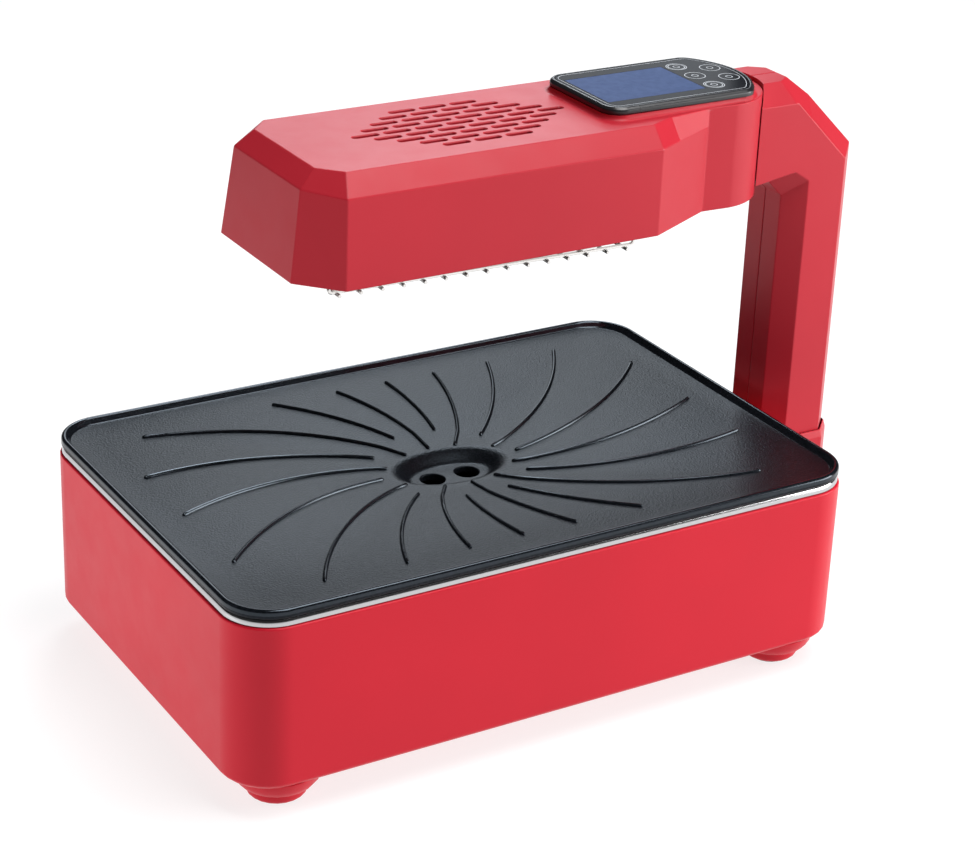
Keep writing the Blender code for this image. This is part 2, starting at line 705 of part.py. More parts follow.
def socket(frame):
    """Block on the tub's side that takes the column's foot and the cord gland."""
    wide = inset(column_section(), -SOCKET_STEP)
    half = COLUMN_HALF_WIDTH + SOCKET_STEP
    wall = BASE_LENGTH / 2 + GAP
    outline = wide[:2] + [(wall, half), (wall, -half)] + wide[-2:]
    bm = bmesh.new()
    loft(bm, [
        at_height(outline, SOCKET_BOTTOM),
        at_height(outline, SOCKET_TOP - SOCKET_CHAMFER),
        at_height(inset(outline, SOCKET_STEP / 2), SOCKET_TOP),
    ])
    block = piece("column_socket", bm, "red_plastic", frame)
    bm = bmesh.new()
    prism(bm, inset(column_section(), -GAP), SOCKET_FLOOR, SOCKET_TOP + OVERRUN)
    boolean(block, bm, "DIFFERENCE")
    bm = bmesh.new()
    start = (MAST_X, half + OVERRUN, GLAND_Z)
    rod(bm, start, (MAST_X, half - GLAND_LENGTH, GLAND_Z), GLAND_RADIUS + GAP, GLAND_STEPS)
    boolean(block, bm, "DIFFERENCE")


def gland(frame):
    """Flanged bush in the socket's rear face, where the supply enters."""
    stem = GLAND_LENGTH - 2 * GAP
    bm = bmesh.new()
    turned_ring(bm, [
        (GLAND_BORE, -stem),
        (GLAND_RADIUS, -stem),
        (GLAND_RADIUS, 0),
        (GLAND_FLANGE, 0),
        (GLAND_FLANGE, GLAND_FLANGE_HEIGHT / 2),
        (GLAND_RADIUS, GLAND_FLANGE_HEIGHT),
        (GLAND_BORE, GLAND_FLANGE_HEIGHT),
    ], GLAND_STEPS)
    place = (MAST_X, COLUMN_HALF_WIDTH + SOCKET_STEP + GAP, GLAND_Z)
    item = piece("cord_gland", bm, "black_plastic", frame, place)
    item.rotation_euler = (-math.pi / 2, 0, 0)


def shell_rings(side):
    """Seam, edge and side face of half a column, from its foot round the horn and down the outer face."""
    foot = SOCKET_FLOOR + GAP
    crease = HORN_UNDERSIDE - HORN_CORNER
    outline = [
        (COLUMN_INNER, foot, EDGE_HALF),
        (COLUMN_INNER, crease, EDGE_HALF),
        (COLUMN_INNER - HORN_CORNER, HORN_UNDERSIDE, EDGE_HALF),
        (HORN_FULL_X, HORN_UNDERSIDE, EDGE_HALF),
        (HORN_FULL_X, COLUMN_TOP, TOP_FACE_HALF),
        (CORNER_CUT_X - TOP_FACE_CUT_RUN, COLUMN_TOP, TOP_FACE_HALF),
        (CORNER_CUT_X, COLUMN_TOP, CORNER_CUT_HALF),
        (COLUMN_OUTER - SHOULDER_RUN, COLUMN_TOP - SHOULDER_DROP, EDGE_HALF),
        (COLUMN_OUTER, CORNER_CUT_Z, EDGE_HALF),
        (COLUMN_OUTER, foot, EDGE_HALF),
    ]
    inner = COLUMN_INNER + COLUMN_BEVEL
    outer = COLUMN_OUTER - COLUMN_BEVEL
    under = HORN_UNDERSIDE + HORN_SIDE_RISE
    over = COLUMN_TOP - HORN_SIDE_DROP
    below = CORNER_CUT_Z - CORNER_SIDE_DROP
    share = 1 - SHOULDER_RUN / CORNER_CUT_RUN
    flank = [
        (inner, foot),
        (inner, crease + HORN_SIDE_RISE),
        (inner - HORN_CORNER, under),
        (HORN_FULL_X, under + HORN_BLEND_RISE),
        (HORN_FULL_X, over),
        (SIDE_CUT_X - SIDE_CUT_LAND, over),
        (SIDE_CUT_X, over),
        (SIDE_CUT_X + (outer - SIDE_CUT_X) * share, over + (below - over) * share),
        (outer, below),
        (outer, foot),
    ]
    return [
        [(x, side * COLUMN_SPLIT / 2, z) for x, z, _ in outline],
        [(x, side * half, z) for x, z, half in outline],
        [(x, side * COLUMN_HALF_WIDTH, z) for x, z in flank],
    ]


def column(frame):
    """Two half shells with a round pocket for the knuckle, closed over the mast and the pivot arm."""
    for name, side in (("column_front_shell", -1), ("column_rear_shell", 1)):
        bm = bmesh.new()
        loft(bm, shell_rings(side))
        shell = piece(name, bm, "red_plastic", frame)
        bm = bmesh.new()
        outline = circle((PIVOT_X, 0), POCKET_RADIUS, KNUCKLE_STEPS * 2)
        prism(bm, outline, HORN_UNDERSIDE - OVERRUN, COLUMN_TOP + OVERRUN)
        boolean(shell, bm, "DIFFERENCE")
        bm = bmesh.new()
        outline = circle((MAST_X, 0), MAST_RADIUS + GAP, MAST_STEPS)
        prism(bm, outline, SOCKET_FLOOR - OVERRUN, ARM_BOTTOM)
        boolean(shell, bm, "DIFFERENCE")
        bm = bmesh.new()
        outline = circle((MAST_X, 0), MAST_RADIUS + CLAMP_WALL + GAP, MAST_STEPS)
        prism(bm, outline, ARM_BOTTOM - GAP, ARM_TOP + GAP)
        boolean(shell, bm, "DIFFERENCE")
        bm = bmesh.new()
        half = ARM_WIDTH / 2 + GAP
        box(bm, (PIVOT_X, -half, ARM_BOTTOM - GAP), (MAST_X, half, ARM_TOP + GAP))
        boolean(shell, bm, "DIFFERENCE")


def mast(frame):
    """Steel tube inside the column, from the socket's floor to the bracket's clamp."""
    bm = bmesh.new()
    sleeve(bm, MAST_RADIUS - MAST_WALL, MAST_RADIUS, SOCKET_FLOOR + GAP, ARM_TOP, MAST_STEPS, (MAST_X, 0))
    piece("mast_tube", bm, "mast_steel", frame)


def bracket(frame):
    """Clamp on the mast, arm through the pocket wall and hub of the swivel."""
    bm = bmesh.new()
    prism(bm, circle((PIVOT_X, 0), HUB_RADIUS, SHAFT_STEPS), ARM_BOTTOM, ARM_TOP)
    body = piece("pivot_bracket", bm, "mast_steel", frame)
    bm = bmesh.new()
    half = ARM_WIDTH / 2
    box(bm, (PIVOT_X, -half, ARM_BOTTOM + ARM_TRIM), (MAST_X, half, ARM_TOP - ARM_TRIM))
    boolean(body, bm, "UNION")
    bm = bmesh.new()
    prism(bm, circle((MAST_X, 0), MAST_RADIUS + CLAMP_WALL, MAST_STEPS), ARM_BOTTOM, ARM_TOP)
    boolean(body, bm, "UNION")
    bm = bmesh.new()
    for x, radius, steps in ((PIVOT_X, SHAFT_RADIUS, SHAFT_STEPS), (MAST_X, MAST_RADIUS, MAST_STEPS)):
        prism(bm, circle((x, 0), radius + GAP, steps), ARM_BOTTOM - OVERRUN, ARM_TOP + OVERRUN)
    boolean(body, bm, "DIFFERENCE")


def pivot(frame):
    """Shaft held in the bracket's hub, with the washer that carries the head."""
    pivot_axis = (PIVOT_X, 0)
    bm = bmesh.new()
    turned(bm, [(SHAFT_RADIUS, COVER_TOP + GAP), (SHAFT_RADIUS, BOSS_ROOF - GAP)], SHAFT_STEPS, pivot_axis)
    piece("pivot_shaft", bm, "mast_steel", frame)
    bm = bmesh.new()
    low = ARM_TOP + GAP
    sleeve(bm, SHAFT_RADIUS + GAP, HUB_RADIUS, low, low + WASHER_HEIGHT, SHAFT_STEPS, pivot_axis)
    piece("friction_washer", bm, "bush_nylon", frame)


def bushes(head):
    """Nylon bushes in the head's two bosses."""
    spans = {
        "upper_bush": (BOSS_BOTTOM, BOSS_ROOF - GAP),
        "lower_bush": (COVER_TOP + GAP, ARM_BOTTOM - GAP),
    }
    for name, (low, high) in spans.items():
        bm = bmesh.new()
        sleeve(bm, SHAFT_RADIUS + GAP, BUSH_RADIUS, low, high, SHAFT_STEPS, (PIVOT_X, 0))
        piece(name, bm, "bush_nylon", head, HEAD_PLACE)


def head_plan(end, side_left, half, facet_half):
    """Plan of the head at one level: knuckle, neck, side and the tapered left end."""
    rear = [
        (HEAD_NECK_X, HEAD_NECK_HALF),
        (HEAD_FACET_X, facet_half),
        (HEAD_SIDE_RIGHT, half),
        (side_left, half),
        end,
    ]
    knuckle = arc((PIVOT_X, 0), KNUCKLE_RADIUS, -math.pi / 2, math.pi / 2, KNUCKLE_STEPS)
    return knuckle + rear + [(x, -y) for x, y in reversed(rear)]


def side_facet_half():
    """Half width of the straight neck taper below the facet's corner."""
    share = (HEAD_FACET_X - HEAD_SIDE_RIGHT) / (HEAD_NECK_X - HEAD_SIDE_RIGHT)
    return HEAD_HALF_WIDTH + (HEAD_NECK_HALF - HEAD_HALF_WIDTH) * share


def head_level(level, wall=0):
    """Ring of the head at its bottom, fold or top, outside or moved in by the wall."""
    if level == "top":
        end, lift, height = (END_TOP_X, END_TOP_HALF), 0, HEAD_TOP - wall
        outline = head_plan(end, TOP_SIDE_LEFT, HEAD_TOP_HALF_WIDTH, HEAD_FACET_HALF)
    elif level == "fold":
        end, lift, height = (END_FOLD_X, END_FOLD_HALF), END_FOLD_RISE, HEAD_FOLD - wall / 2
        outline = head_plan(end, HEAD_SIDE_LEFT, HEAD_HALF_WIDTH, side_facet_half())
    else:
        end, lift, height = (END_BOTTOM_X, END_BOTTOM_HALF), END_BOTTOM_RISE, HEAD_BOTTOM
        outline = head_plan(end, HEAD_SIDE_LEFT, HEAD_HALF_WIDTH, side_facet_half())
    moved = inset(outline, wall) if wall else outline
    ends = [index for index, point in enumerate(outline) if point[0] == end[0]]
    return [(x, y, height + (lift if index in ends else 0)) for index, (x, y) in enumerate(moved)]


def vent_slots():
    """Round-ended slots in staggered rows through the head's roof."""
    bm = bmesh.new()
    turn = VENT_WIDTH / 2
    reach = VENT_LENGTH / 2 - turn
    for row, count in enumerate(VENT_ROWS):
        y = (row - (len(VENT_ROWS) - 1) / 2) * VENT_ROW_PITCH
        for slot in range(count):
            x = VENT_X + (slot - (count - 1) / 2) * VENT_PITCH
            outline = arc((x + reach, y), turn, -math.pi / 2, math.pi / 2, VENT_END_STEPS)
            outline += arc((x - reach, y), turn, math.pi / 2, 3 * math.pi / 2, VENT_END_STEPS)
            prism(bm, outline, HEAD_TOP - HEAD_WALL - OVERRUN, HEAD_TOP + OVERRUN)
    return bm


def swivel_slot():
    """Cutter for the opening in the knuckle's wall that the bracket's arm passes through."""
    inner = KNUCKLE_RADIUS - HEAD_WALL
    half = SWIVEL_RANGE + math.asin((ARM_WIDTH / 2 + SLOT_CLEARANCE) / inner)
    outline = arc((PIVOT_X, 0), KNUCKLE_RADIUS + OVERRUN, -half, half, KNUCKLE_STEPS)
    outline += arc((PIVOT_X, 0), inner - OVERRUN, half, -half, KNUCKLE_STEPS)
    bm = bmesh.new()
    prism(bm, outline, ARM_BOTTOM - SLOT_CLEARANCE, ARM_TOP + SLOT_CLEARANCE)
    return bm


def housing(head):
    """Faceted lamp housing, open below, with vents, the panel's plinth and the upper boss."""
    bm = bmesh.new()
    loft(bm, [
        head_level("top"),
        head_level("fold"),
        head_level("bottom"),
        head_level("bottom", HEAD_WALL),
        head_level("fold", HEAD_WALL),
        head_level("top", HEAD_WALL),
    ])
    shell = piece("head_housing", bm, "red_plastic", head, HEAD_PLACE)
    bm = bmesh.new()
    loft(bm, [
        at_height(plinth_outline(PLINTH_FLARE), HEAD_TOP - HEAD_WALL / 2),
        at_height(plinth_outline(PLINTH_FLARE), HEAD_TOP),
        at_height(plinth_outline(PLINTH_FLARE / 4), HEAD_TOP + PLINTH_HEIGHT / 3),
        at_height(plinth_outline(0), PLINTH_TOP),
    ])
    boolean(shell, bm, "UNION")
    bm = bmesh.new()
    prism(bm, circle((PIVOT_X, 0), BOSS_RADIUS, SHAFT_STEPS), BOSS_BOTTOM, HEAD_TOP - HEAD_WALL / 2)
    boolean(shell, bm, "UNION")
    bm = bmesh.new()
    prism(bm, circle((PIVOT_X, 0), BOSS_BORE, SHAFT_STEPS), BOSS_BOTTOM - OVERRUN, BOSS_ROOF)
    boolean(shell, bm, "DIFFERENCE")
    boolean(shell, vent_slots(), "DIFFERENCE")
    boolean(shell, swivel_slot(), "DIFFERENCE")


def neck_cover(head):
    """Plate that closes the neck and knuckle from below, with the lower boss."""
    plan = head_plan((END_BOTTOM_X, END_BOTTOM_HALF), HEAD_SIDE_LEFT, HEAD_HALF_WIDTH, side_facet_half())
    left = REFLECTOR_RIGHT - HEAD_WALL
    sides = [(left, HEAD_HALF_WIDTH), (left, -HEAD_HALF_WIDTH)]
    outline = [point for point in plan if point[0] >= HEAD_SIDE_RIGHT]
    rear = KNUCKLE_STEPS + 4
    outline = outline[:rear] + sides + outline[rear:]
    bm = bmesh.new()
    prism(bm, inset(outline, HEAD_WALL + GAP), COVER_BOTTOM, COVER_TOP)
    cover = piece("neck_cover", bm, "red_plastic", head, HEAD_PLACE)
    bm = bmesh.new()
    prism(bm, circle((PIVOT_X, 0), BOSS_RADIUS, SHAFT_STEPS), COVER_TOP - COVER_HEIGHT / 2, ARM_BOTTOM - GAP)
    boolean(cover, bm, "UNION")
    bm = bmesh.new()
    prism(bm, circle((PIVOT_X, 0), BOSS_BORE, SHAFT_STEPS), COVER_TOP, ARM_BOTTOM + OVERRUN)
    boolean(cover, bm, "DIFFERENCE")


def panel_outline(inwards=0):
    """Outline of the control panel: two round corners, straight sides and a wide round end."""
    end_x = PANEL_RIGHT - PANEL_END_RADIUS
    fillet_y = PANEL_HALF_WIDTH - PANEL_END_FILLET
    fillet_x = end_x + math.sqrt((PANEL_END_RADIUS - PANEL_END_FILLET) ** 2 - fillet_y ** 2)
    turn = math.atan2(fillet_y, fillet_x - end_x)
    corner = (PANEL_LEFT + PANEL_CORNER, PANEL_HALF_WIDTH - PANEL_CORNER)
    quarter = math.pi / 2
    points = arc((end_x, 0), PANEL_END_RADIUS - inwards, -turn, turn, PANEL_STEPS * 2)
    points += arc((fillet_x, fillet_y), PANEL_END_FILLET - inwards, turn, quarter, PANEL_STEPS)[1:]
    points += arc(corner, PANEL_CORNER - inwards, quarter, 2 * quarter, PANEL_STEPS)
    points += arc((corner[0], -corner[1]), PANEL_CORNER - inwards, 2 * quarter, 3 * quarter, PANEL_STEPS)
    end = arc((fillet_x, -fillet_y), PANEL_END_FILLET - inwards, 3 * quarter, 4 * quarter - turn, PANEL_STEPS)
    return points + end[:-1]


def plinth_outline(flare):
    """The panel's outline with a flare that stays within the neck and the knuckle."""
    outline = []
    for x, y in panel_outline(-flare):
        if x > HEAD_FACET_X:
            y = max(-HEAD_NECK_HALF, min(HEAD_NECK_HALF, y))
        reach = math.hypot(x - PIVOT_X, y)
        if x > PIVOT_X and reach > HEAD_NECK_HALF:
            x, y = PIVOT_X + (x - PIVOT_X) * HEAD_NECK_HALF / reach, y * HEAD_NECK_HALF / reach
        outline.append((x, y))
    return outline


def screen_corners(space=0):
    """Low and high X and Y of the screen, with a space round it."""
    right = SCREEN_LEFT + SCREEN_LENGTH + space
    half = SCREEN_WIDTH / 2 + space
    return (SCREEN_LEFT - space, -half), (right, half)


def panel(head):
    """Bezel with a recess, the glass in it and the screen that shows through the glass's window."""
    glass_floor = PANEL_TOP - LENS_HEIGHT - GAP
    low, high = screen_corners(GAP)
    bm = bmesh.new()
    loft(bm, [
        at_height(panel_outline(), BEZEL_BOTTOM),
        at_height(panel_outline(), PANEL_TOP - BEZEL_EDGE),
        at_height(panel_outline(BEZEL_EDGE), PANEL_TOP),
        at_height(panel_outline(LENS_INSET), PANEL_TOP),
        at_height(panel_outline(LENS_INSET), glass_floor),
    ])
    bezel = piece("panel_bezel", bm, "black_plastic", head, HEAD_PLACE)
    bm = bmesh.new()
    box(bm, (*low, glass_floor - SCREEN_DEPTH), (*high, PANEL_TOP))
    boolean(bezel, bm, "DIFFERENCE")
    bm = bmesh.new()
    lens_top = PANEL_TOP - GLASS_SINK
    prism(bm, panel_outline(LENS_INSET + GAP), glass_floor + GAP, lens_top)
    lens = piece("panel_lens", bm, "panel_glass", head, HEAD_PLACE)
    bm = bmesh.new()
    box(bm, (*low, glass_floor - OVERRUN), (*high, PANEL_TOP + OVERRUN))
    boolean(lens, bm, "DIFFERENCE")
    low, high = screen_corners()
    bm = bmesh.new()
    box(bm, (*low, glass_floor - SCREEN_DEPTH + GAP), (*high, lens_top))
    piece("lcd_module", bm, "screen_blue", head, HEAD_PLACE)


def pan_ring(inwards, height):
    """Rectangle of the reflector, moved in from its lip."""
    half = REFLECTOR_HALF - inwards
    left, right = REFLECTOR_LEFT + inwards, REFLECTOR_RIGHT - inwards
    return at_height([(left, -half), (right, -half), (right, half), (left, half)], height)


def reflector(head):
    """Bright sheet pan, open below, with a flat lip."""
    sheet = REFLECTOR_SHEET
    slope = REFLECTOR_LIP + REFLECTOR_SLOPE
    bm = bmesh.new()
    loft(bm, [
        pan_ring(slope, REFLECTOR_TOP),
        pan_ring(REFLECTOR_LIP, REFLECTOR_BOTTOM + sheet),
        pan_ring(0, REFLECTOR_BOTTOM + sheet),
        pan_ring(0, REFLECTOR_BOTTOM),
        pan_ring(REFLECTOR_LIP + sheet, REFLECTOR_BOTTOM),
        pan_ring(slope + sheet, REFLECTOR_TOP - sheet),
    ])
    piece("reflector", bm, "reflector_aluminium", head, HEAD_PLACE)


def lamps(head):
    """Two quartz tubes in a ceramic holder at each end of the reflector."""
    left = REFLECTOR_LEFT + HOLDER_END_SPACE
    right = REFLECTOR_RIGHT - HOLDER_END_SPACE
    roof = REFLECTOR_TOP - REFLECTOR_SHEET - GAP
    floor = LAMP_Z - LAMP_RADIUS - HOLDER_WALL
    for name, start in (("lamp_holder_left", left), ("lamp_holder_right", right - HOLDER_LENGTH)):
        bm = bmesh.new()
        box(bm, (start, -HOLDER_HALF, floor), (start + HOLDER_LENGTH, HOLDER_HALF, roof))
        holder = piece(name, bm, "holder_ceramic", head, HEAD_PLACE)
        bm = bmesh.new()
        for y in (-LAMP_Y, LAMP_Y):
            ends = (start - OVERRUN, y, LAMP_Z), (start + HOLDER_LENGTH + OVERRUN, y, LAMP_Z)
            rod(bm, *ends, LAMP_RADIUS + GAP, LAMP_STEPS)
        boolean(holder, bm, "DIFFERENCE")
    for name, y in (("lamp_tube_front", -LAMP_Y), ("lamp_tube_rear", LAMP_Y)):
        bm = bmesh.new()
        reach = HOLDER_LENGTH / 2
        rod(bm, (left - reach, y, LAMP_Z), (right + reach, y, LAMP_Z), LAMP_RADIUS, LAMP_STEPS)
        piece(name, bm, "lamp_quartz", head, HEAD_PLACE)


def guard_height(x, lift=0):
    """Height of the guard's lower rods at a place along them, or of a line above these."""
    return HEAD_BOTTOM - GUARD_DROP - GUARD_FALL * (x - GUARD_LEFT) / (GUARD_RIGHT - GUARD_LEFT) + lift


def rod_loop(bm, y):
    """Closed wire loop in an upright plane: a long lower run, a long upper run and round ends."""
    turn = GUARD_LOOP_HEIGHT / 2
    path = arc((GUARD_RIGHT, guard_height(GUARD_RIGHT, turn)), turn, -math.pi / 2, math.pi / 2, LOOP_STEPS)
    path += arc((GUARD_LEFT, guard_height(GUARD_LEFT, turn)), turn, math.pi / 2, 3 * math.pi / 2, LOOP_STEPS)
    across = Vector((0, 1, 0))
    rows = []
    for index, (x, z) in enumerate(path):
        back = Vector(path[index - 1])
        ahead = Vector(path[(index + 1) % len(path)])
        along = (Vector((x, z)) - back).normalized() + (ahead - Vector((x, z))).normalized()
        out = Vector((along.y, 0, -along.x)).normalized()
        centre = Vector((x, y, z))
        section = circle((0, 0), GUARD_ROD_RADIUS, WIRE_SIDES)
        rows.append([bm.verts.new(centre + out * a + across * b) for a, b in section])
    for low, high in zip(rows, rows[1:] + rows[:1]):
        for index in range(WIRE_SIDES):
            after = (index + 1) % WIRE_SIDES
            bm.faces.new((low[index], low[after], high[after], high[index]))


def guard(head):
    """Welded wire guard under the lamps, hung from four clips."""
    bm = bmesh.new()
    left, right = (GUARD_LEFT, guard_height(GUARD_LEFT)), (GUARD_RIGHT, guard_height(GUARD_RIGHT))
    for side in (-1, 1):
        rod_loop(bm, side * GUARD_SIDE_Y)
        inner = side * GUARD_SIDE_Y / 3
        rod(bm, (left[0], inner, left[1]), (right[0], inner, right[1]), GUARD_ROD_RADIUS, WIRE_SIDES)
    body = piece("wire_guard", bm, "guard_steel", head, HEAD_PLACE)
    bm = bmesh.new()
    under = GUARD_WIRE_WELD - GUARD_ROD_RADIUS - GUARD_WIRE_RADIUS
    reach = GUARD_SIDE_Y + GUARD_WIRE_REACH
    span = GUARD_RIGHT - GUARD_LEFT - 2 * GUARD_WIRE_SPACE
    for wire in range(GUARD_WIRE_COUNT):
        x = GUARD_LEFT + GUARD_WIRE_SPACE + span * wire / (GUARD_WIRE_COUNT - 1)
        z = guard_height(x, under)
        rod(bm, (x, -reach, z), (x, reach, z), GUARD_WIRE_RADIUS, WIRE_SIDES)
    boolean(body, bm, "UNION")


def clips(head):
    """Four blocks under the reflector's lip, each round the guard's upper rod."""
    ends = {"left": GUARD_LEFT + CLIP_END_SPACE, "right": GUARD_RIGHT - CLIP_END_SPACE}
    for row, y in (("front", -GUARD_SIDE_Y), ("rear", GUARD_SIDE_Y)):
        for end, x in ends.items():
            height = guard_height(x, GUARD_LOOP_HEIGHT)
            floor = height - GUARD_ROD_RADIUS - GAP - CLIP_FLOOR
            low = (x - CLIP_LENGTH / 2, y - CLIP_WIDTH / 2, floor)
            high = (x + CLIP_LENGTH / 2, y + CLIP_WIDTH / 2, REFLECTOR_BOTTOM - GAP)
            bm = bmesh.new()
            box(bm, low, high)
            clip = piece(f"guard_clip_{row}_{end}", bm, "guard_steel", head, HEAD_PLACE)
            bm = bmesh.new()
            start, stop = low[0] - OVERRUN, high[0] + OVERRUN
            ends_of_bore = [(place, y, guard_height(place, GUARD_LOOP_HEIGHT)) for place in (start, stop)]
            rod(bm, *ends_of_bore, GUARD_ROD_RADIUS + GAP, 2 * WIRE_SIDES)
            boolean(clip, bm, "DIFFERENCE")


def build():
    """Make every piece on the empties that carry the moving groups."""
    clear_scene()
    frame = empty("grill_frame", (FRAME_X, 0, 0))
    tray_lift = empty("tray_lift", (0, 0, 0), frame)
    plate_lift = empty("plate_lift", (0, 0, 0), tray_lift)
    head = empty("head_swivel", (PIVOT_X, 0, 0), frame)
    for make in (tub, feet, socket, gland, column, mast, bracket, pivot):
        make(frame)
    tray(tray_lift)
    plate(plate_lift)
    for make in (housing, neck_cover, bushes, panel, reflector, lamps, guard, clips):
        make(head)
    bpy.context.view_layer.update()


build()
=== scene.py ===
"""Looks of the countertop infrared grill: finishes, smooth forms, panel print, floor, lights and camera."""

import bmesh
import bpy
import json
import math
from mathutils import Matrix, Vector
from mathutils.bvhtree import BVHTree


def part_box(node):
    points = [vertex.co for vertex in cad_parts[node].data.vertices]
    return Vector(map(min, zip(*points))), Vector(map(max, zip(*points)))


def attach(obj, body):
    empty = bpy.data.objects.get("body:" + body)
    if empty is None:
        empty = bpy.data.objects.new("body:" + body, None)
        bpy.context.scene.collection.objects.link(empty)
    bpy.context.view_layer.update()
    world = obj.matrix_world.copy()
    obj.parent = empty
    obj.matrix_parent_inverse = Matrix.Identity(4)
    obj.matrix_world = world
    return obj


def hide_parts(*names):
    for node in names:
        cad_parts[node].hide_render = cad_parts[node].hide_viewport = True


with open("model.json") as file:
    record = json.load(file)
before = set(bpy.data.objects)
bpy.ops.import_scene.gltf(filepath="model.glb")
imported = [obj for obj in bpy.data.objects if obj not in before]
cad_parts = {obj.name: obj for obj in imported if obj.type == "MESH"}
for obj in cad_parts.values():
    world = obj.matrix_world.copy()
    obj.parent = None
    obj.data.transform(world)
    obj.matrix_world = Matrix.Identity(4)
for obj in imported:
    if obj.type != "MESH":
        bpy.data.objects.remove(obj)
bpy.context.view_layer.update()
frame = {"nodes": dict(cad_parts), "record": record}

NODES = frame["nodes"]
QUARTER = math.pi / 2

# Camera, solved from the photograph
CAMERA_PLACE = (-0.74329, -1.17642, 0.77660)
CAMERA_HEADING = math.radians(-31.94)
CAMERA_TILT = math.radians(65.38)
CAMERA_ROLL = math.radians(2.40)
CAMERA_LENS = 92.5
SENSOR_WIDTH = 36.0

# Floor; its glow is given as the reach where it starts to fade and where it ends, and the strength at each
FLOOR_SIZE = 12.0
FLOOR_DROP = 0.0002
FLOOR_TONE = 0.25
FLOOR_ROUGHNESS = 0.9
FLOOR_GLOW = (1.7, 3.2, 0.79, 0.30)

# Lights: name, place, point that it looks at, size, power, tone, and whether it shows in reflections
WORLD_STRENGTH = 0.03
WHITE = (1.0, 1.0, 1.0)
COOL_WHITE = (0.88, 0.94, 1.0)
GRILL_MIDDLE = (0, 0, 0.17)
TUB_LEFT_END = (-0.25, 0, 0.10)
LIGHTS = (
    ("right_light", (1.70, -1.20, 0.46), GRILL_MIDDLE, 1.2, 44, WHITE, True),
    ("left_light", (-0.66, 0.04, 0.13), TUB_LEFT_END, 0.25, 1.25, WHITE, False),
    ("top_light", (0.38, -0.60, 1.95), GRILL_MIDDLE, 1.2, 39, WHITE, True),
    ("sheen_light", (0.60, 1.0, 1.45), GRILL_MIDDLE, 0.6, 13, COOL_WHITE, True),
    ("back_light", (0.95, 1.85, 1.02), GRILL_MIDDLE, 1.0, 6.8, COOL_WHITE, True),
)

# Noises: waves per metre and detail
RED_CLOUD = (9.0, 2.0)
RED_GLOSS_CLOUD = (60.0, 4.0)
RED_SKIN = (1400.0, 2.0)
PLATE_SAND = (850.0, 2.0)
METAL_MARKS = (300.0, 4.0)
MOULD_CLOUD = (30.0, 3.0)
MOULD_DETAIL = 2.0
SCREEN_CLOUD = (260.0, 3.0)
QUARTZ_FILM = (120.0, 2.0)
CLOUD_STOPS = (0.3, 0.7)

# Red plastic; the head, the column and its collar wear a darker, more muted copy of the tub's red: painted
# shade and painted sheen, not a second plastic
TUB_RED = (0.55, 0.011, 0.026)
UPPER_RED_PAINTED_SHADE = (0.45, 0.019, 0.032)
RED_SHADES = (0.96, 1.04)
RED_ROUGHNESS = (0.33, 0.40)
RED_SHEEN = 0.20
RED_SKIN_STRENGTH = 0.05
SKIN_DEPTH = 0.0002

# Plate's coating, with the roughness, the sheen and the strength of the sand on each of its parts
PLATE_SHADES = ((0.002, 0.003, 0.004), (0.009, 0.010, 0.014))
PLATE_STOPS = (0.42, 0.60)
PLATE_TONE = (0.010, 0.012, 0.016)
PLATE_TINT = (0.72, 0.86, 1.0)
PLATE_ROUGHNESS_SHARES = (0.97, 1.03)
SAND_DEPTH = 0.0004
COOKING_COAT = (0.31, 0.18, 0.70)
RIM_COAT = (0.16, 0.50, 0.02)
RIB_COAT = (0.22, 0.60, 0.02)

# Metals: slot, tone, least and greatest roughness, and how far the marks are squeezed along each axis
METALS = (
    ("tray_steel", (0.52, 0.52, 0.53), 0.10, 0.20, (1, 1, 40)),
    ("mast_steel", (0.56, 0.57, 0.59), 0.28, 0.42, (1, 1, 20)),
    ("guard_steel", (0.74, 0.72, 0.70), 0.18, 0.30, (1, 20, 1)),
    ("reflector_aluminium", (0.88, 0.88, 0.89), 0.08, 0.18, (20, 1, 1)),
)
MARK_STRENGTH = 0.04
MARK_DEPTH = 0.0001

# Plain mouldings: slot, tone, roughness, waves of grain per metre, its strength, and sheen
MOULDINGS = (
    ("black_plastic", (0.012, 0.012, 0.014), 0.28, 900.0, 0.08, 0.5),
    ("panel_glass", (0.010, 0.011, 0.014), 0.10, 200.0, 0.01, 0.015),
    ("pad_rubber", (0.028, 0.028, 0.028), 0.75, 1200.0, 0.3, 0.5),
    ("bush_nylon", (0.74, 0.72, 0.67), 0.45, 900.0, 0.08, 0.5),
    ("holder_ceramic", (0.84, 0.82, 0.78), 0.55, 1500.0, 0.2, 0.5),
)
PRINT_INK = ((0.50, 0.52, 0.55), 0.5, 900.0, 0.08, 0.5)
MOULD_SHARES = (0.9, 1.1)

# Screen and lamps
SCREEN_TONE = (0.042, 0.070, 0.165)
SCREEN_SHADES = ((0.034, 0.058, 0.145), (0.050, 0.080, 0.180))
SCREEN_ROUGHNESS = 0.30
SCREEN_SHEEN = 0.01
SCREEN_GLOW = (0.10, 0.17, 0.42)
SCREEN_GLOW_STRENGTH = 0.03
QUARTZ_TONE = (0.86, 0.80, 0.74)
QUARTZ_ROUGHNESS = (0.05, 0.12)
QUARTZ_CLEARNESS = 0.85
QUARTZ_IOR = 1.46

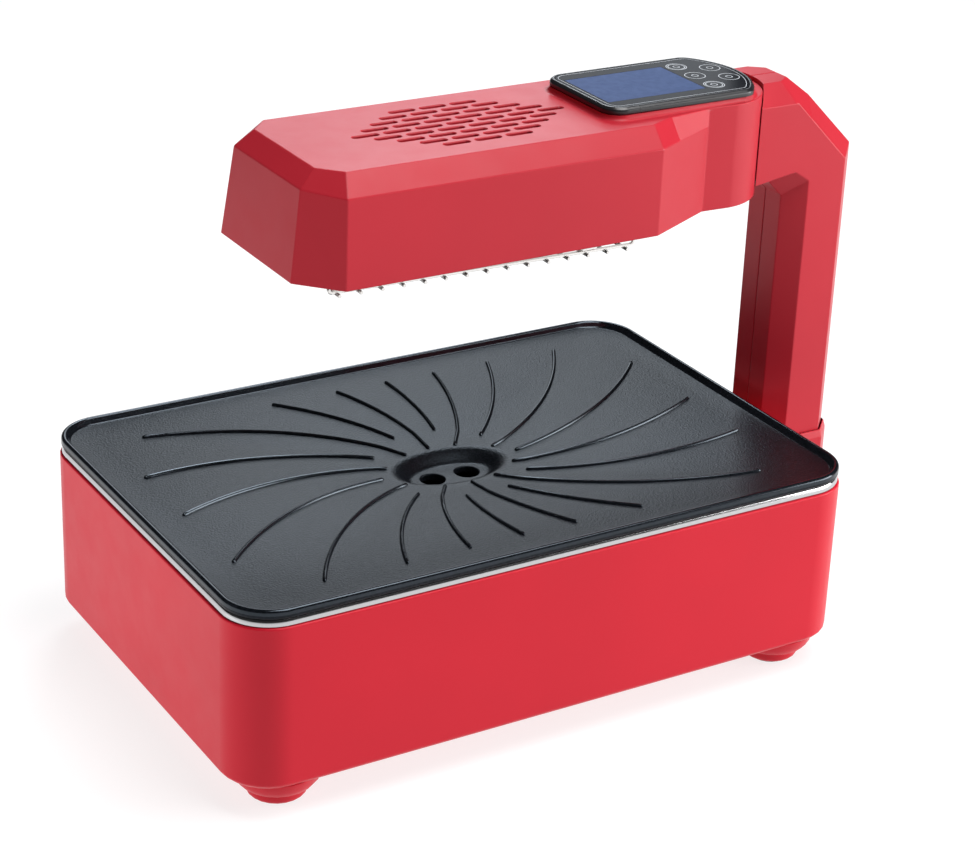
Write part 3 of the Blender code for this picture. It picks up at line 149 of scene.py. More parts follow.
# Edges of the nodes that stay: the first matching start of a node's name gives the radius, the least angle
# of the edges that it rounds, and whether flat faces are joined first
SHARP_ANGLE = math.radians(28)
FACET_ANGLE = math.radians(9)
FLAT_ANGLE = math.radians(0.4)
EDGE_SEGMENTS = 3
WELD_REACH = 0.00001
NORMAL_WEIGHT = 50
EDGES = (
    ("base_housing", 0.0012, SHARP_ANGLE, True),
    ("column_socket", 0.0008, FACET_ANGLE, True),
    ("neck_cover", 0.0003, SHARP_ANGLE, False),
    ("panel_bezel", 0.0006, SHARP_ANGLE, True),
    ("panel_lens", 0, SHARP_ANGLE, False),
    ("lcd_module", 0, SHARP_ANGLE, False),
    ("foot", 0.0006, SHARP_ANGLE, True),
    ("wire_guard", 0, SHARP_ANGLE, False),
    ("reflector", 0, SHARP_ANGLE, False),
    ("lamp_tube", 0, SHARP_ANGLE, False),
    ("", 0.0003, SHARP_ANGLE, True),
)

# Plate: outline, rim, slope and dish; the rim's coat reaches down from its top by the rim's band
SEAT_GAP = 0.0003
PLATE_CORNER = 0.029
PLATE_CORNER_STEPS = 14
PLATE_SIDE_STEPS = 12
PLATE_SEAT = 0.0100
PLATE_THICK = 0.0040
PLATE_FOOT_ROUND = 0.0013
PLATE_RIM_ROUND = 0.0018
PLATE_RIM_FLAT = 0.0020
PLATE_RIM_FALL = 0.0044
PLATE_RIM_BAND = 0.0034
PLATE_EDGE_DROP = 0.0038
RIM_STEPS = 6
RIM_TURNS = [QUARTER * number / RIM_STEPS for number in range(RIM_STEPS + 1)]
SLOPE_BEND_SHARE = 0.5
SLOPE_STEPS = 10
DISH_LENGTH = 0.086
DISH_WIDTH = 0.054
DISH_FLOOR_LENGTH = 0.050
DISH_FLOOR_WIDTH = 0.026
DISH_DROP = 0.0122
DISH_DEPTH = 0.0070
DISH_SHOULDER = 1.5
DISH_STEPS = 20

# Plate: drain holes
DRAIN_RADIUS = 0.0075
DRAIN_PITCH = 0.024
DRAIN_LIP = 0.0010
DRAIN_LAP = 0.0001

# Plate: ribs, long and short by turns, that swirl and end at a rounded rectangle inside the rim
RIB_COUNT = 20
RIB_START_ANGLE = math.radians(-18)
RIB_SWIRL_PER_METRE = math.radians(145)
RIB_SWIRL_START = 0.046
RIB_BLEND = 0.006
RIB_SHORT_START = 0.046
RIB_LONG_LAP = 0.0018
RIB_FIELD_INSET_X = 0.026
RIB_FIELD_INSET_Y = 0.025
RIB_FIELD_CORNER = 0.050
RIB_WIDTH = 0.0027
RIB_HEIGHT = 0.0015
RIB_SINK = 0.0006
RIB_TIP = 0.0014
RIB_TIP_SHARE = 0.15
RIB_TIP_STEPS = (0, 0.06, 0.2, 0.45, 1)
RIB_STATIONS = 44
RIB_SIDES = 8
BISECTIONS = 30
PROBE_HEIGHT = 0.5

# Drip tray; its rolled rim stands out over the tub's edge
TRAY_GAP = 0.0001
TRAY_CORNER = 0.0278
TRAY_BULGE = 0.0013
TRAY_OUT = 0.0010
TRAY_WIDEST = 0.14
TRAY_RIM_WIDTH = 0.0046
TRAY_WALL = 0.0012
TRAY_PAN_INSET = 0.0033
TRAY_DRAFT = 0.004
TRAY_STEPS = 14

# Head, measured from the swivel's axis
HEAD_HEIGHT = 0.0647
HEAD_CHAMFER = 0.0117
HEAD_WALL = 0.003
HEAD_HALF_WIDTH = 0.0608
HEAD_TOP_INSET = 0.0110
HEAD_REACH = 0.2716
HEAD_EDGE = 0.0007
SIDE_REACH = 0.0663
FACET_REACH = 0.0495
FACET_STEP = 0.0047
NECK_REACH = 0.0185
NECK_INSET = 0.0010
END_BOTTOM_RUN = 0.0254
END_BOTTOM_INSET = 0.0168
END_BOTTOM_RISE = 0.003
END_FOLD_RUN = 0.0184
END_FOLD_INSET = 0.0198
END_FOLD_RISE = 0.0022
TOP_SIDE_INSET = 0.0046
END_TOP_RUN = 0.0125
END_TOP_INSET = 0.0133

# Head: knuckle, its opening for the bracket's arm, and the boss round the shaft
KNUCKLE_RADIUS = 0.0385
KNUCKLE_STEPS = 48
NECK_HALF = KNUCKLE_RADIUS - NECK_INSET
SWIVEL_RANGE = math.radians(35)
ARM_WIDTH = 0.008
SLOT_CLEARANCE = 0.0012
BOSS_RADIUS = 0.0141
BOSS_BORE = 0.0101
BOSS_LAP = 0.0001

# Head: fillet round the panel's plinth
PLINTH_FLARE = 0.0028
PLINTH_FILLET = 0.0027
PLINTH_STEPS = 6

# Head: vents, by their rows
VENT_ROWS = (3, 4, 5, 6, 7, 6, 5, 4, 3)
VENT_REACH = 0.1046
VENT_LENGTH = 0.0168
VENT_THROAT = 0.0043
VENT_MOUTH = 0.0053
VENT_CHAMFER = 0.0006
VENT_PITCH = 0.02045
VENT_ROW_PITCH = 0.0079
VENT_END_STEPS = 8

# Column, measured from its outer face, its top and the swivel's axis
COLUMN_DEPTH = 0.0506
COLUMN_BEVEL = 0.0117
COLUMN_SPLIT = 0.0004
COLUMN_EDGE = 0.0006
POCKET_CLEARANCE = 0.0006
HORN_START = 0.0195
HORN_LIFT = 0.0027
HORN_CORNER = 0.0107
HORN_CREASE_RISE = 0.0118
HORN_VERTEX_RISE = 0.0080
HORN_END_RISE = 0.0020
HORN_SIDE_DROP = 0.0121
TOP_FACE_INSET = 0.0100
TOP_FACE_TAPER = 0.0069
TOP_FACE_CUT_RUN = 0.0091
CORNER_CUT_RUN = 0.0506
CORNER_CUT_DROP = 0.0469
SHOULDER_RUN = 0.0362
SHOULDER_DROP = 0.0116
SIDE_CUT_BACK = 0.0016
SIDE_CUT_LAND = 0.0020
CORNER_SIDE_DROP = 0.0058
CORE_GAP = 0.0003
CORE_STEPS = 24

# Panel: outline, border line and touch rings; each ring has its middle, and whether it has an inner ring
PANEL_CORNER = 0.012
PANEL_END_RADIUS = 0.050
PANEL_END_FILLET = 0.010
PRINT_STEPS = 12
PRINT_LIFT = 0.00002
PRINT_THICKNESS = 0.00006
BORDER_INSET = 0.0048
BORDER_WIDTH = 0.0003
TOUCH_RINGS = (
    (0.12655, 0.0197, True),
    (0.12655, 0.0, False),
    (0.12655, -0.0197, True),
    (0.14455, 0.010, False),
    (0.14455, -0.010, False),
)
RING_RADIUS = 0.0065
RING_WIDTH = 0.00045
RING_STEPS = 40
INNER_RING_SHARE = 0.82
MARK_RADIUS = 0.0022


def socket(node, name, value):
    """Set a node's input by name."""
    node.inputs[name].default_value = value


def new_material(name, tone, roughness, metallic=0.0):
    """A Principled material and its shader."""
    material = bpy.data.materials.new(name)
    material.use_nodes = True
    shader = material.node_tree.nodes["Principled BSDF"]
    socket(shader, "Base Color", (*tone, 1.0))
    socket(shader, "Roughness", roughness)
    socket(shader, "Metallic", metallic)
    return material, shader


def add(material, kind, **values):
    """A node with its properties set."""
    node = material.node_tree.nodes.new(kind)
    for name, value in values.items():
        setattr(node, name, value)
    return node


def link(material, start, output, end, name):
    """Join two nodes."""
    material.node_tree.links.new(start.outputs[output], end.inputs[name])


def object_noise(material, scale, detail, stretch=(1, 1, 1)):
    """Noise over the object's own coordinates, in waves per metre."""
    place = add(material, "ShaderNodeTexCoord")
    mapping = add(material, "ShaderNodeMapping")
    socket(mapping, "Scale", stretch)
    link(material, place, "Object", mapping, "Vector")
    noise = add(material, "ShaderNodeTexNoise")
    socket(noise, "Scale", scale)
    socket(noise, "Detail", detail)
    link(material, mapping, "Vector", noise, "Vector")
    return noise


def bump(material, shader, noise, strength, depth):
    """Bump on a shader from a noise."""
    node = add(material, "ShaderNodeBump")
    socket(node, "Strength", strength)
    socket(node, "Distance", depth)
    link(material, noise, "Fac", node, "Height")
    link(material, node, "Normal", shader, "Normal")


def vary(material, shader, noise, name, shades, stops=CLOUD_STOPS):
    """Spread a shader's colour or value over a noise, from one shade to another between two stops."""
    ramp = add(material, "ShaderNodeValToRGB")
    for element, stop, shade in zip(ramp.color_ramp.elements, stops, shades):
        element.position = stop
        element.color = (*shade, 1.0)
    link(material, noise, "Fac", ramp, "Fac")
    link(material, ramp, "Color", shader, name)


def greys(values, factor=1.0):
    """Values times a factor, as grey shades."""
    return [(value * factor, value * factor, value * factor) for value in values]


def red_plastic(name, tone):
    """Satin moulded plastic with faint mottling and a fine skin."""
    material, shader = new_material(name, tone, RED_ROUGHNESS[0])
    socket(shader, "Specular IOR Level", RED_SHEEN)
    shades = [[part * share for part in tone] for share in RED_SHADES]
    vary(material, shader, object_noise(material, *RED_CLOUD), "Base Color", shades)
    vary(material, shader, object_noise(material, *RED_GLOSS_CLOUD), "Roughness", greys(RED_ROUGHNESS))
    bump(material, shader, object_noise(material, *RED_SKIN), RED_SKIN_STRENGTH, SKIN_DEPTH)
    return material


def plate_coating(name, roughness, sheen, grit):
    """Near-black non-stick coating with sand in it."""
    material, shader = new_material(name, PLATE_TONE, roughness)
    socket(shader, "Specular IOR Level", sheen)
    socket(shader, "Specular Tint", (*PLATE_TINT, 1.0))
    sand = object_noise(material, *PLATE_SAND)
    vary(material, shader, sand, "Base Color", PLATE_SHADES, PLATE_STOPS)
    vary(material, shader, sand, "Roughness", greys(PLATE_ROUGHNESS_SHARES, roughness))
    bump(material, shader, sand, grit, SAND_DEPTH)
    return material


def metal(name, tone, low, high, stretch):
    """Metal with brush or drawing marks along one way."""
    material, shader = new_material(name, tone, low, 1.0)
    marks = object_noise(material, *METAL_MARKS, stretch)
    vary(material, shader, marks, "Roughness", greys((low, high)))
    bump(material, shader, marks, MARK_STRENGTH, MARK_DEPTH)
    return material


def moulded(name, tone, roughness, grain, strength, sheen):
    """Plain moulded plastic, rubber, glass or ceramic with a fine grain."""
    material, shader = new_material(name, tone, roughness)
    socket(shader, "Specular IOR Level", sheen)
    vary(material, shader, object_noise(material, *MOULD_CLOUD), "Roughness", greys(MOULD_SHARES, roughness))
    bump(material, shader, object_noise(material, grain, MOULD_DETAIL), strength, SKIN_DEPTH)
    return material


def screen_glow():
    """Blue liquid-crystal screen with faint mottling and a faint glow."""
    material, shader = new_material("finish_screen_blue", SCREEN_TONE, SCREEN_ROUGHNESS)
    socket(shader, "Specular IOR Level", SCREEN_SHEEN)
    vary(material, shader, object_noise(material, *SCREEN_CLOUD), "Base Color", SCREEN_SHADES)
    socket(shader, "Emission Color", (*SCREEN_GLOW, 1.0))
    socket(shader, "Emission Strength", SCREEN_GLOW_STRENGTH)
    return material


def lamp_glass():
    """Clear quartz with a faint warm tint."""
    material, shader = new_material("finish_lamp_quartz", QUARTZ_TONE, QUARTZ_ROUGHNESS[0])
    socket(shader, "Transmission Weight", QUARTZ_CLEARNESS)
    socket(shader, "IOR", QUARTZ_IOR)
    vary(material, shader, object_noise(material, *QUARTZ_FILM), "Roughness", greys(QUARTZ_ROUGHNESS))
    return material


# The upper red is the tub's plastic with painted shade and painted sheen in its colour
UPPER_FINISH_PAINTED_SHADE = red_plastic("finish_red_upper_painted_shade", UPPER_RED_PAINTED_SHADE)
FINISHES = {
    "red_plastic": red_plastic("finish_red_plastic", TUB_RED),
    "black_plate": plate_coating("finish_black_plate", *COOKING_COAT),
    "screen_blue": screen_glow(),
    "lamp_quartz": lamp_glass(),
}
FINISHES |= {slot: metal(f"finish_{slot}", *values) for slot, *values in METALS}
FINISHES |= {slot: moulded(f"finish_{slot}", *values) for slot, *values in MOULDINGS}


def dress_nodes():
    """Give every carried-over node its finish."""
    slots = {entry["node"]: entry["material_slot"] for entry in frame["record"]["subparts"]}
    for name, node in NODES.items():
        node.data.materials.clear()
        # The collar wears the darker upper red, which is painted shade
        node.data.materials.append(UPPER_FINISH_PAINTED_SHADE if name == "column_socket" else FINISHES[slots[name]])


def modify(item, name, kind, **values):
    """Put a modifier with its settings on a node or piece."""
    modifier = item.modifiers.new(name, kind)
    for key, value in values.items():
        setattr(modifier, key, value)


def round_edges(item, width, angle):
    """Round the edges of a node or piece that are sharper than an angle."""
    modify(item, "round_edges", "BEVEL", width=width, segments=EDGE_SEGMENTS, limit_method="ANGLE",
           angle_limit=angle, use_clamp_overlap=False, miter_outer="MITER_ARC")


def soften(node, width, angle, dissolve):
    """Join a node's triangles into faces and round its edges, with its own mesh left as it is."""
    modify(node, "weld", "WELD", merge_threshold=WELD_REACH)
    if dissolve:
        modify(node, "flat_faces", "DECIMATE", decimate_type="DISSOLVE", angle_limit=FLAT_ANGLE)
    if width:
        round_edges(node, width, angle)
    modify(node, "even_normals", "WEIGHTED_NORMAL", weight=NORMAL_WEIGHT, keep_sharp=not width)


def soften_all():
    """Round the edges of every node that no piece replaces, by its kind."""
    for name, node in NODES.items():
        if not node.hide_render:
            rule = next(rule for rule in EDGES if name.startswith(rule[0]))
            soften(node, *rule[1:])


def corners(node):
    """Lowest and highest corner of a node's box."""
    return [Vector(corner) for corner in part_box(node)]


def box_middle(node):
    """Middle of a node's box."""
    return [sum(pair) / 2 for pair in zip(*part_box(node))]


def arc(centre, radius, start, end, steps):
    """Points of an arc in plan, with both ends."""
    angles = [start + (end - start) * number / steps for number in range(steps + 1)]
    return [(centre[0] + radius * math.cos(turn), centre[1] + radius * math.sin(turn)) for turn in angles]


def circle(centre, radius, steps):
    """Points of a circle in plan."""
    return arc(centre, radius, 0, 2 * math.pi, steps)[:-1]


def at_height(outline, height):
    """A flat ring from an outline in plan."""
    return [(x, y, height) for x, y in outline]


def centred(rings, centre):
    """Rings moved in plan to a centre."""
    return [[(x + centre.x, y + centre.y, z) for x, y, z in ring] for ring in rings]


def inset(outline, distance):
    """An outline that runs anticlockwise, moved inwards by a distance."""
    moved = []
    for index, point in enumerate(outline):
        here = Vector(point)
        back = here - Vector(outline[index - 1])
        ahead = Vector(outline[(index + 1) % len(outline)]) - here
        first = Vector((-back.y, back.x)).normalized()
        second = Vector((-ahead.y, ahead.x)).normalized()
        moved.append(tuple(here + (first + second) / (1 + first.dot(second)) * distance))
    return moved


def loft(bm, rings, closed=False):
    """A skin through rings of equally many points, capped at both ends or closed on itself."""
    rows = [[bm.verts.new(point) for point in ring] for ring in rings]
    count = len(rows[0])
    for low, high in zip(rows, rows[1:] + (rows[:1] if closed else [])):
        for index in range(count):
            after = (index + 1) % count
            bm.faces.new((low[index], low[after], high[after], high[index]))
    if not closed:
        bm.faces.new(list(reversed(rows[0])))
        bm.faces.new(rows[-1])


def prism(outline, bottom, top):
    """A closed body from an outline in plan between two heights."""
    bm = bmesh.new()
    loft(bm, [at_height(outline, bottom), at_height(outline, top)])
    return bm


def new_piece(name, bm, material, body):
    """A piece from a bmesh in world places, smooth but for its sharp edges, that rides on a body."""
    bmesh.ops.recalc_face_normals(bm, faces=bm.faces)
    mesh = bpy.data.meshes.new(name)
    bm.to_mesh(mesh)
    bm.free()
    mesh.shade_smooth()
    mesh.set_sharp_from_angle(angle=SHARP_ANGLE)
    mesh.materials.append(material)
    item = bpy.data.objects.new(name, mesh)
    bpy.context.scene.collection.objects.link(item)
    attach(item, body)
    return item


def combine(item, tools):
    """Join or cut a piece by tool shapes, for good, in their order."""
    objects = []
    for operation, bm in tools:
        mesh = bpy.data.meshes.new("tool")
        bmesh.ops.recalc_face_normals(bm, faces=bm.faces)
        bm.to_mesh(mesh)
        bm.free()
        tool = bpy.data.objects.new("tool", mesh)
        bpy.context.scene.collection.objects.link(tool)
        modify(item, "combine", "BOOLEAN", object=tool, operation=operation, solver="EXACT")
        objects.append(tool)
    bpy.context.view_layer.update()
    item.data = bpy.data.meshes.new_from_object(item.evaluated_get(bpy.context.evaluated_depsgraph_get()))
    item.modifiers.clear()
    item.data.shade_smooth()
    item.data.set_sharp_from_angle(angle=SHARP_ANGLE)
    for tool in objects:
        bpy.data.objects.remove(tool)


def plate_outline(size, inwards, corner=PLATE_CORNER):
    """Outline of the plate or tray, moved in: corner arcs joined by sides that carry points in between."""
    across, along = size.x / 2 - corner, size.y / 2 - corner
    centres = ((across, along), (-across, along), (-across, -along), (across, -along))
    points = []
    for quarter, centre in enumerate(centres):
        start = quarter * QUARTER
        points += arc(centre, corner - inwards, start, start + QUARTER, PLATE_CORNER_STEPS)
        here = Vector(points[-1])
        after = Vector(centres[(quarter + 1) % len(centres)])
        turn = start + QUARTER
        after += Vector((math.cos(turn), math.sin(turn))) * (corner - inwards)
        for number in range(1, PLATE_SIDE_STEPS):
            points.append(tuple(here.lerp(after, number / PLATE_SIDE_STEPS)))
    return points


def dish_ring(size, length, width):
    """An oval in plan with as many points as the plate's outline has."""
    ring = []
    for x, y in plate_outline(size, 0):
        angle = math.atan2(y / size.y, x / size.x)
        ring.append((length / 2 * math.cos(angle), width / 2 * math.sin(angle)))
    return ring


def oval_reach(angle, length, width):
    """Distance from the middle to an oval's edge."""
    across = math.hypot(width * math.cos(angle), length * math.sin(angle))
    return length * width / across / 2


def field_reach(angle, size):
    """Distance from the middle to the rounded rectangle where the ribs end."""
    half_x = size.x / 2 - RIB_FIELD_INSET_X - RIB_FIELD_CORNER
    half_y = size.y / 2 - RIB_FIELD_INSET_Y - RIB_FIELD_CORNER
    low, high = 0, size.x
    for _ in range(BISECTIONS):
        middle = (low + high) / 2
        over_x = abs(middle * math.cos(angle)) - half_x
        over_y = abs(middle * math.sin(angle)) - half_y
        beyond = math.hypot(max(over_x, 0), max(over_y, 0)) > RIB_FIELD_CORNER
        low, high = (low, middle) if beyond else (middle, high)
    return low


def plate_profile(top, seat):
    """Inset and height pairs from under the plate's seat over its rounded rim to the cooking surface."""
    low, high = PLATE_FOOT_ROUND, PLATE_RIM_ROUND
    profile = [(PLATE_SEAT, top - PLATE_EDGE_DROP - PLATE_THICK), (PLATE_SEAT, seat)]
    profile += [(low - low * math.sin(turn), seat + low - low * math.cos(turn)) for turn in RIM_TURNS]
    profile.append((0, top - PLATE_RIM_BAND))
    profile += [(high - high * math.cos(turn), top - high + high * math.sin(turn)) for turn in RIM_TURNS]
    for number in range(1, 2 * RIM_STEPS + 1):
        share = number / (2 * RIM_STEPS)
        fall = (1 - math.cos(math.pi * share)) / 2
        profile.append((PLATE_RIM_FLAT + PLATE_RIM_FALL * share, top - PLATE_EDGE_DROP * fall))
    return profile


def plate_body(centre, size, top, seat):
    """The plate's underside, rim, sloping surface and oval dish, and the height of the dish's floor."""
    under = PLATE_THICK
    dish_top = top - DISH_DROP
    floor = dish_top - DISH_DEPTH
    rings = [
        at_height(dish_ring(size, DISH_FLOOR_LENGTH + under, DISH_FLOOR_WIDTH + under), floor - under),
        at_height(dish_ring(size, DISH_LENGTH + 2 * under, DISH_WIDTH + 2 * under), dish_top - under),
    ]
    for inwards, height in plate_profile(top, seat):
        rings.append(at_height(plate_outline(size, inwards), height))
    outer = rings[-1]
    inner = at_height(dish_ring(size, DISH_LENGTH, DISH_WIDTH), dish_top)
    rise = Vector((0, 0, (outer[0][2] - dish_top) * SLOPE_BEND_SHARE))
    for number in range(1, SLOPE_STEPS):
        share = number / SLOPE_STEPS
        bend = rise * share * (1 - share)
        rings.append([tuple(Vector(a).lerp(Vector(b), share) + bend) for a, b in zip(outer, inner)])
    for number in range(DISH_STEPS + 1):
        share = number / DISH_STEPS
        length = DISH_LENGTH + (DISH_FLOOR_LENGTH - DISH_LENGTH) * share
        width = DISH_WIDTH + (DISH_FLOOR_WIDTH - DISH_WIDTH) * share
        fall = (1 - math.cos(math.pi * share ** DISH_SHOULDER)) / 2
        rings.append(at_height(dish_ring(size, length, width), dish_top + (floor - dish_top) * fall))
    bm = bmesh.new()
    loft(bm, centred(rings, centre))
    return bm, floor


def rib_angle(start, reach):
    """Direction of a rib's point at a distance from the middle."""
    return start + RIB_SWIRL_PER_METRE * max(0, reach - RIB_SWIRL_START)


def rib_stations(begin, end):
    """Distances from the middle at which a rib's rings stand, close together at both tips."""
    first, last = begin + RIB_TIP, end - RIB_TIP
    stations = [begin + RIB_TIP * share for share in RIB_TIP_STEPS]
    stations += [first + (last - first) * number / RIB_STATIONS for number in range(1, RIB_STATIONS)]
    return stations + [end - RIB_TIP * share for share in reversed(RIB_TIP_STEPS)]


def rib(bm, surface, centre, size, number):
    """One curved bead that lies on the surface and has rounded tips."""
    start = RIB_START_ANGLE + 2 * math.pi * number / RIB_COUNT
    begin = RIB_SHORT_START
    if number % 2 == 0:
        begin = oval_reach(start, DISH_LENGTH, DISH_WIDTH) - RIB_LONG_LAP
    end = field_reach(start, size)
    for _ in range(BISECTIONS):
        end = field_reach(rib_angle(start, end), size)
    rings = []
    for reach in rib_stations(begin, end):
        angle = rib_angle(start, reach)
        here = Vector((math.cos(angle), math.sin(angle))) * reach
        blend = min(max(reach - RIB_SWIRL_START, 0) / RIB_BLEND, 1)
        heading = angle + math.atan(RIB_SWIRL_PER_METRE * reach) * blend
        side = Vector((-math.sin(heading), math.cos(heading)))
        tip = min(min(reach - begin, end - reach) / RIB_TIP, 1)
        grow = math.sqrt(1 - (1 - tip) ** 2) * (1 - RIB_TIP_SHARE) + RIB_TIP_SHARE
        ring = []
        for part in range(RIB_SIDES + 1):
            turn = math.pi * part / RIB_SIDES
            spot = here + side * math.cos(turn) * RIB_WIDTH / 2 * grow
            x, y = spot.x + centre.x, spot.y + centre.y
            ground = surface.ray_cast(Vector((x, y, PROBE_HEIGHT)), Vector((0, 0, -1)))[0].z
            ring.append((x, y, ground - RIB_SINK + (RIB_HEIGHT + RIB_SINK) * math.sin(turn) * grow))
        rings.append(ring)
    loft(bm, rings)


def drain_rim(bm, x, y, floor):
    """Rounded edge and wall of a drain hole."""
    out, lip = DRAIN_RADIUS + DRAIN_LIP, DRAIN_LIP
    profile = [(out - lip * math.sin(turn), floor - lip + lip * math.cos(turn)) for turn in RIM_TURNS]
    profile += [(DRAIN_RADIUS, floor - PLATE_THICK), (out, floor - PLATE_THICK)]
    rings = [at_height(circle((x, y), radius, RING_STEPS), height) for radius, height in profile]
    loft(bm, rings, closed=True)


def coat_rim(casting, height):
    """Give the faces of the casting above a height the smoother coat of the rim."""
    casting.data.materials.append(plate_coating("finish_plate_rim", *RIM_COAT))
    for face in casting.data.polygons:
        face.material_index = int(face.center.z > height)


def plate():
    """The cast plate with smooth slopes, round beads and rounded drains, in place of its plain solid."""
    low, high = corners("grill_plate")
    centre, size = (low + high) / 2, high - low
    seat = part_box("drip_tray")[1][2] + SEAT_GAP
    bm, floor = plate_body(centre, size, high.z, seat)
    surface = BVHTree.FromBMesh(bm)
    casting = new_piece("plate_casting", bm, FINISHES["black_plate"], "plate")
    drains = [(centre.x + side * DRAIN_PITCH / 2, centre.y) for side in (-1, 1)]
    holes = bmesh.new()
    for drain in drains:
        outline = circle(drain, DRAIN_RADIUS + DRAIN_LIP - DRAIN_LAP, RING_STEPS)
        loft(holes, [at_height(outline, floor - 2 * PLATE_THICK), at_height(outline, high.z)])
    combine(casting, [("DIFFERENCE", holes)])
    coat_rim(casting, high.z - PLATE_RIM_BAND)
    bm = bmesh.new()
    for number in range(RIB_COUNT):
        rib(bm, surface, centre, size, number)
    ribs = new_piece("plate_ribs", bm, plate_coating("finish_plate_rib", *RIB_COAT), "plate")
    bm = bmesh.new()
    for x, y in drains:
        drain_rim(bm, x, y, floor)
    rims = new_piece("plate_drains", bm, FINISHES["black_plate"], "plate")
    for item in (casting, ribs, rims):
        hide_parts("grill_plate")


def tray():
    """The pressed pan with its rolled bright rim, in place of its plain solid."""
    low, high = corners("drip_tray")
    centre, size = (low + high) / 2, high - low
    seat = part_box("base_housing")[1][2] + TRAY_GAP
    below = (high.z - seat) * TRAY_WIDEST
    above = high.z - seat - below
    profile = [(TRAY_PAN_INSET + TRAY_DRAFT, low.z), (TRAY_PAN_INSET, seat)]
    for number in range(TRAY_STEPS + 1):
        turn = math.pi * number / TRAY_STEPS
        rise = (below if number < TRAY_STEPS / 2 else above) * -math.cos(turn)
        profile.append((TRAY_BULGE * (1 - math.sin(turn)) - TRAY_OUT, seat + below + rise))
    profile += [(TRAY_RIM_WIDTH, high.z), (TRAY_RIM_WIDTH + TRAY_DRAFT, low.z + TRAY_WALL)]
    bm = bmesh.new()
    rings = [at_height(plate_outline(size, inwards, TRAY_CORNER), height) for inwards, height in profile]
    loft(bm, centred(rings, centre))
    pan = new_piece("tray_pan", bm, FINISHES["tray_steel"], "tray")
    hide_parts("drip_tray")


def head_plan(end, side_left, half, facet_half):
    """Plan of the head at one level, from the swivel's axis: knuckle, neck, side and tapered left end."""
    rear = [(-NECK_REACH, NECK_HALF), (-FACET_REACH, facet_half)]
    rear += [(-SIDE_REACH, half), (side_left, half), end]
    knuckle = arc((0, 0), KNUCKLE_RADIUS, -QUARTER, QUARTER, KNUCKLE_STEPS)
    return knuckle + rear + [(x, -y) for x, y in reversed(rear)]


def head_level(level, bottom, wall=0):
    """Ring of the head at its bottom, fold or top, outside or moved in by the wall."""
    top_half = HEAD_HALF_WIDTH - HEAD_TOP_INSET
    share = (SIDE_REACH - FACET_REACH) / (SIDE_REACH - NECK_REACH)
    taper_half = HEAD_HALF_WIDTH + (NECK_HALF - HEAD_HALF_WIDTH) * share
    if level == "top":
        left = TOP_SIDE_INSET - HEAD_REACH
        end, lift, height = (left - END_TOP_RUN, top_half - END_TOP_INSET), 0, HEAD_HEIGHT - wall
        outline = head_plan(end, left, top_half, NECK_HALF + FACET_STEP)
    else:
        fold = level == "fold"
        run, side = (END_FOLD_RUN, END_FOLD_INSET) if fold else (END_BOTTOM_RUN, END_BOTTOM_INSET)
        end = (-HEAD_REACH - run, HEAD_HALF_WIDTH - side)
        lift = END_FOLD_RISE if fold else END_BOTTOM_RISE
        height = HEAD_HEIGHT - HEAD_CHAMFER - wall / 2 if fold else 0
        outline = head_plan(end, -HEAD_REACH, HEAD_HALF_WIDTH, taper_half)
    moved = inset(outline, wall) if wall else outline
    ends = [index for index, point in enumerate(outline) if point[0] == end[0]]
    return [(x, y, bottom + height + (lift if index in ends else 0)) for index, (x, y) in enumerate(moved)]


def vent_slots(top):
    """Round-ended slots in staggered rows, each with a chamfered mouth."""
    bm = bmesh.new()
    reach = (VENT_LENGTH - VENT_THROAT) / 2
    levels = [(VENT_THROAT, -2 * HEAD_WALL), (VENT_THROAT, -VENT_CHAMFER)]
    levels += [(VENT_MOUTH, 0), (VENT_MOUTH, HEAD_WALL)]
    for row, count in enumerate(VENT_ROWS):
        y = (row - (len(VENT_ROWS) - 1) / 2) * VENT_ROW_PITCH
        for slot in range(count):
            x = VENT_REACH - HEAD_REACH + (slot - (count - 1) / 2) * VENT_PITCH
            rings = []
            for width, height in levels:
                outline = arc((x + reach, y), width / 2, -QUARTER, QUARTER, VENT_END_STEPS)
                outline += arc((x - reach, y), width / 2, QUARTER, 3 * QUARTER, VENT_END_STEPS)
                rings.append(at_height(outline, top + height))
            loft(bm, rings)
    return bm


def swivel_slot():
    """Cutter for the opening in the knuckle's wall that the bracket's arm passes through."""
    arm = [corner[2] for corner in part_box("pivot_bracket")]
    inner = KNUCKLE_RADIUS - HEAD_WALL
    half = SWIVEL_RANGE + math.asin((ARM_WIDTH / 2 + SLOT_CLEARANCE) / inner)
    outline = arc((0, 0), KNUCKLE_RADIUS + HEAD_WALL, -half, half, KNUCKLE_STEPS)
    outline += arc((0, 0), inner - HEAD_WALL, half, -half, KNUCKLE_STEPS)
    return prism(outline, arm[0] - SLOT_CLEARANCE, arm[1] + SLOT_CLEARANCE)


def plinth_outline(flare, pivot_x):
    """The panel's outline from the swivel's axis, with a flare kept within the neck and the knuckle."""
    outline = []
    for x, y in panel_outline(-flare):
        x -= pivot_x
        if x > -FACET_REACH:
            y = max(-NECK_HALF, min(NECK_HALF, y))
        reach = math.hypot(x, y)
        if x > 0 and reach > NECK_HALF:
            x, y = x * NECK_HALF / reach, y * NECK_HALF / reach
        outline.append((x, y))
    return outline


def plinth(top, pivot_x):
    """The panel's plinth, from within the head's wall up a fillet to the panel."""
    levels = [(PLINTH_FLARE, -HEAD_WALL / 2), (PLINTH_FLARE, 0)]
    for number in range(1, PLINTH_STEPS + 1):
        turn = QUARTER * number / PLINTH_STEPS
        levels.append((PLINTH_FLARE * (1 - math.sin(turn)), PLINTH_FILLET * (1 - math.cos(turn))))
    levels.append((0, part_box("head_housing")[1][2] - top))
    bm = bmesh.new()
    loft(bm, [at_height(plinth_outline(flare, pivot_x), top + height) for flare, height in levels])
    return bm


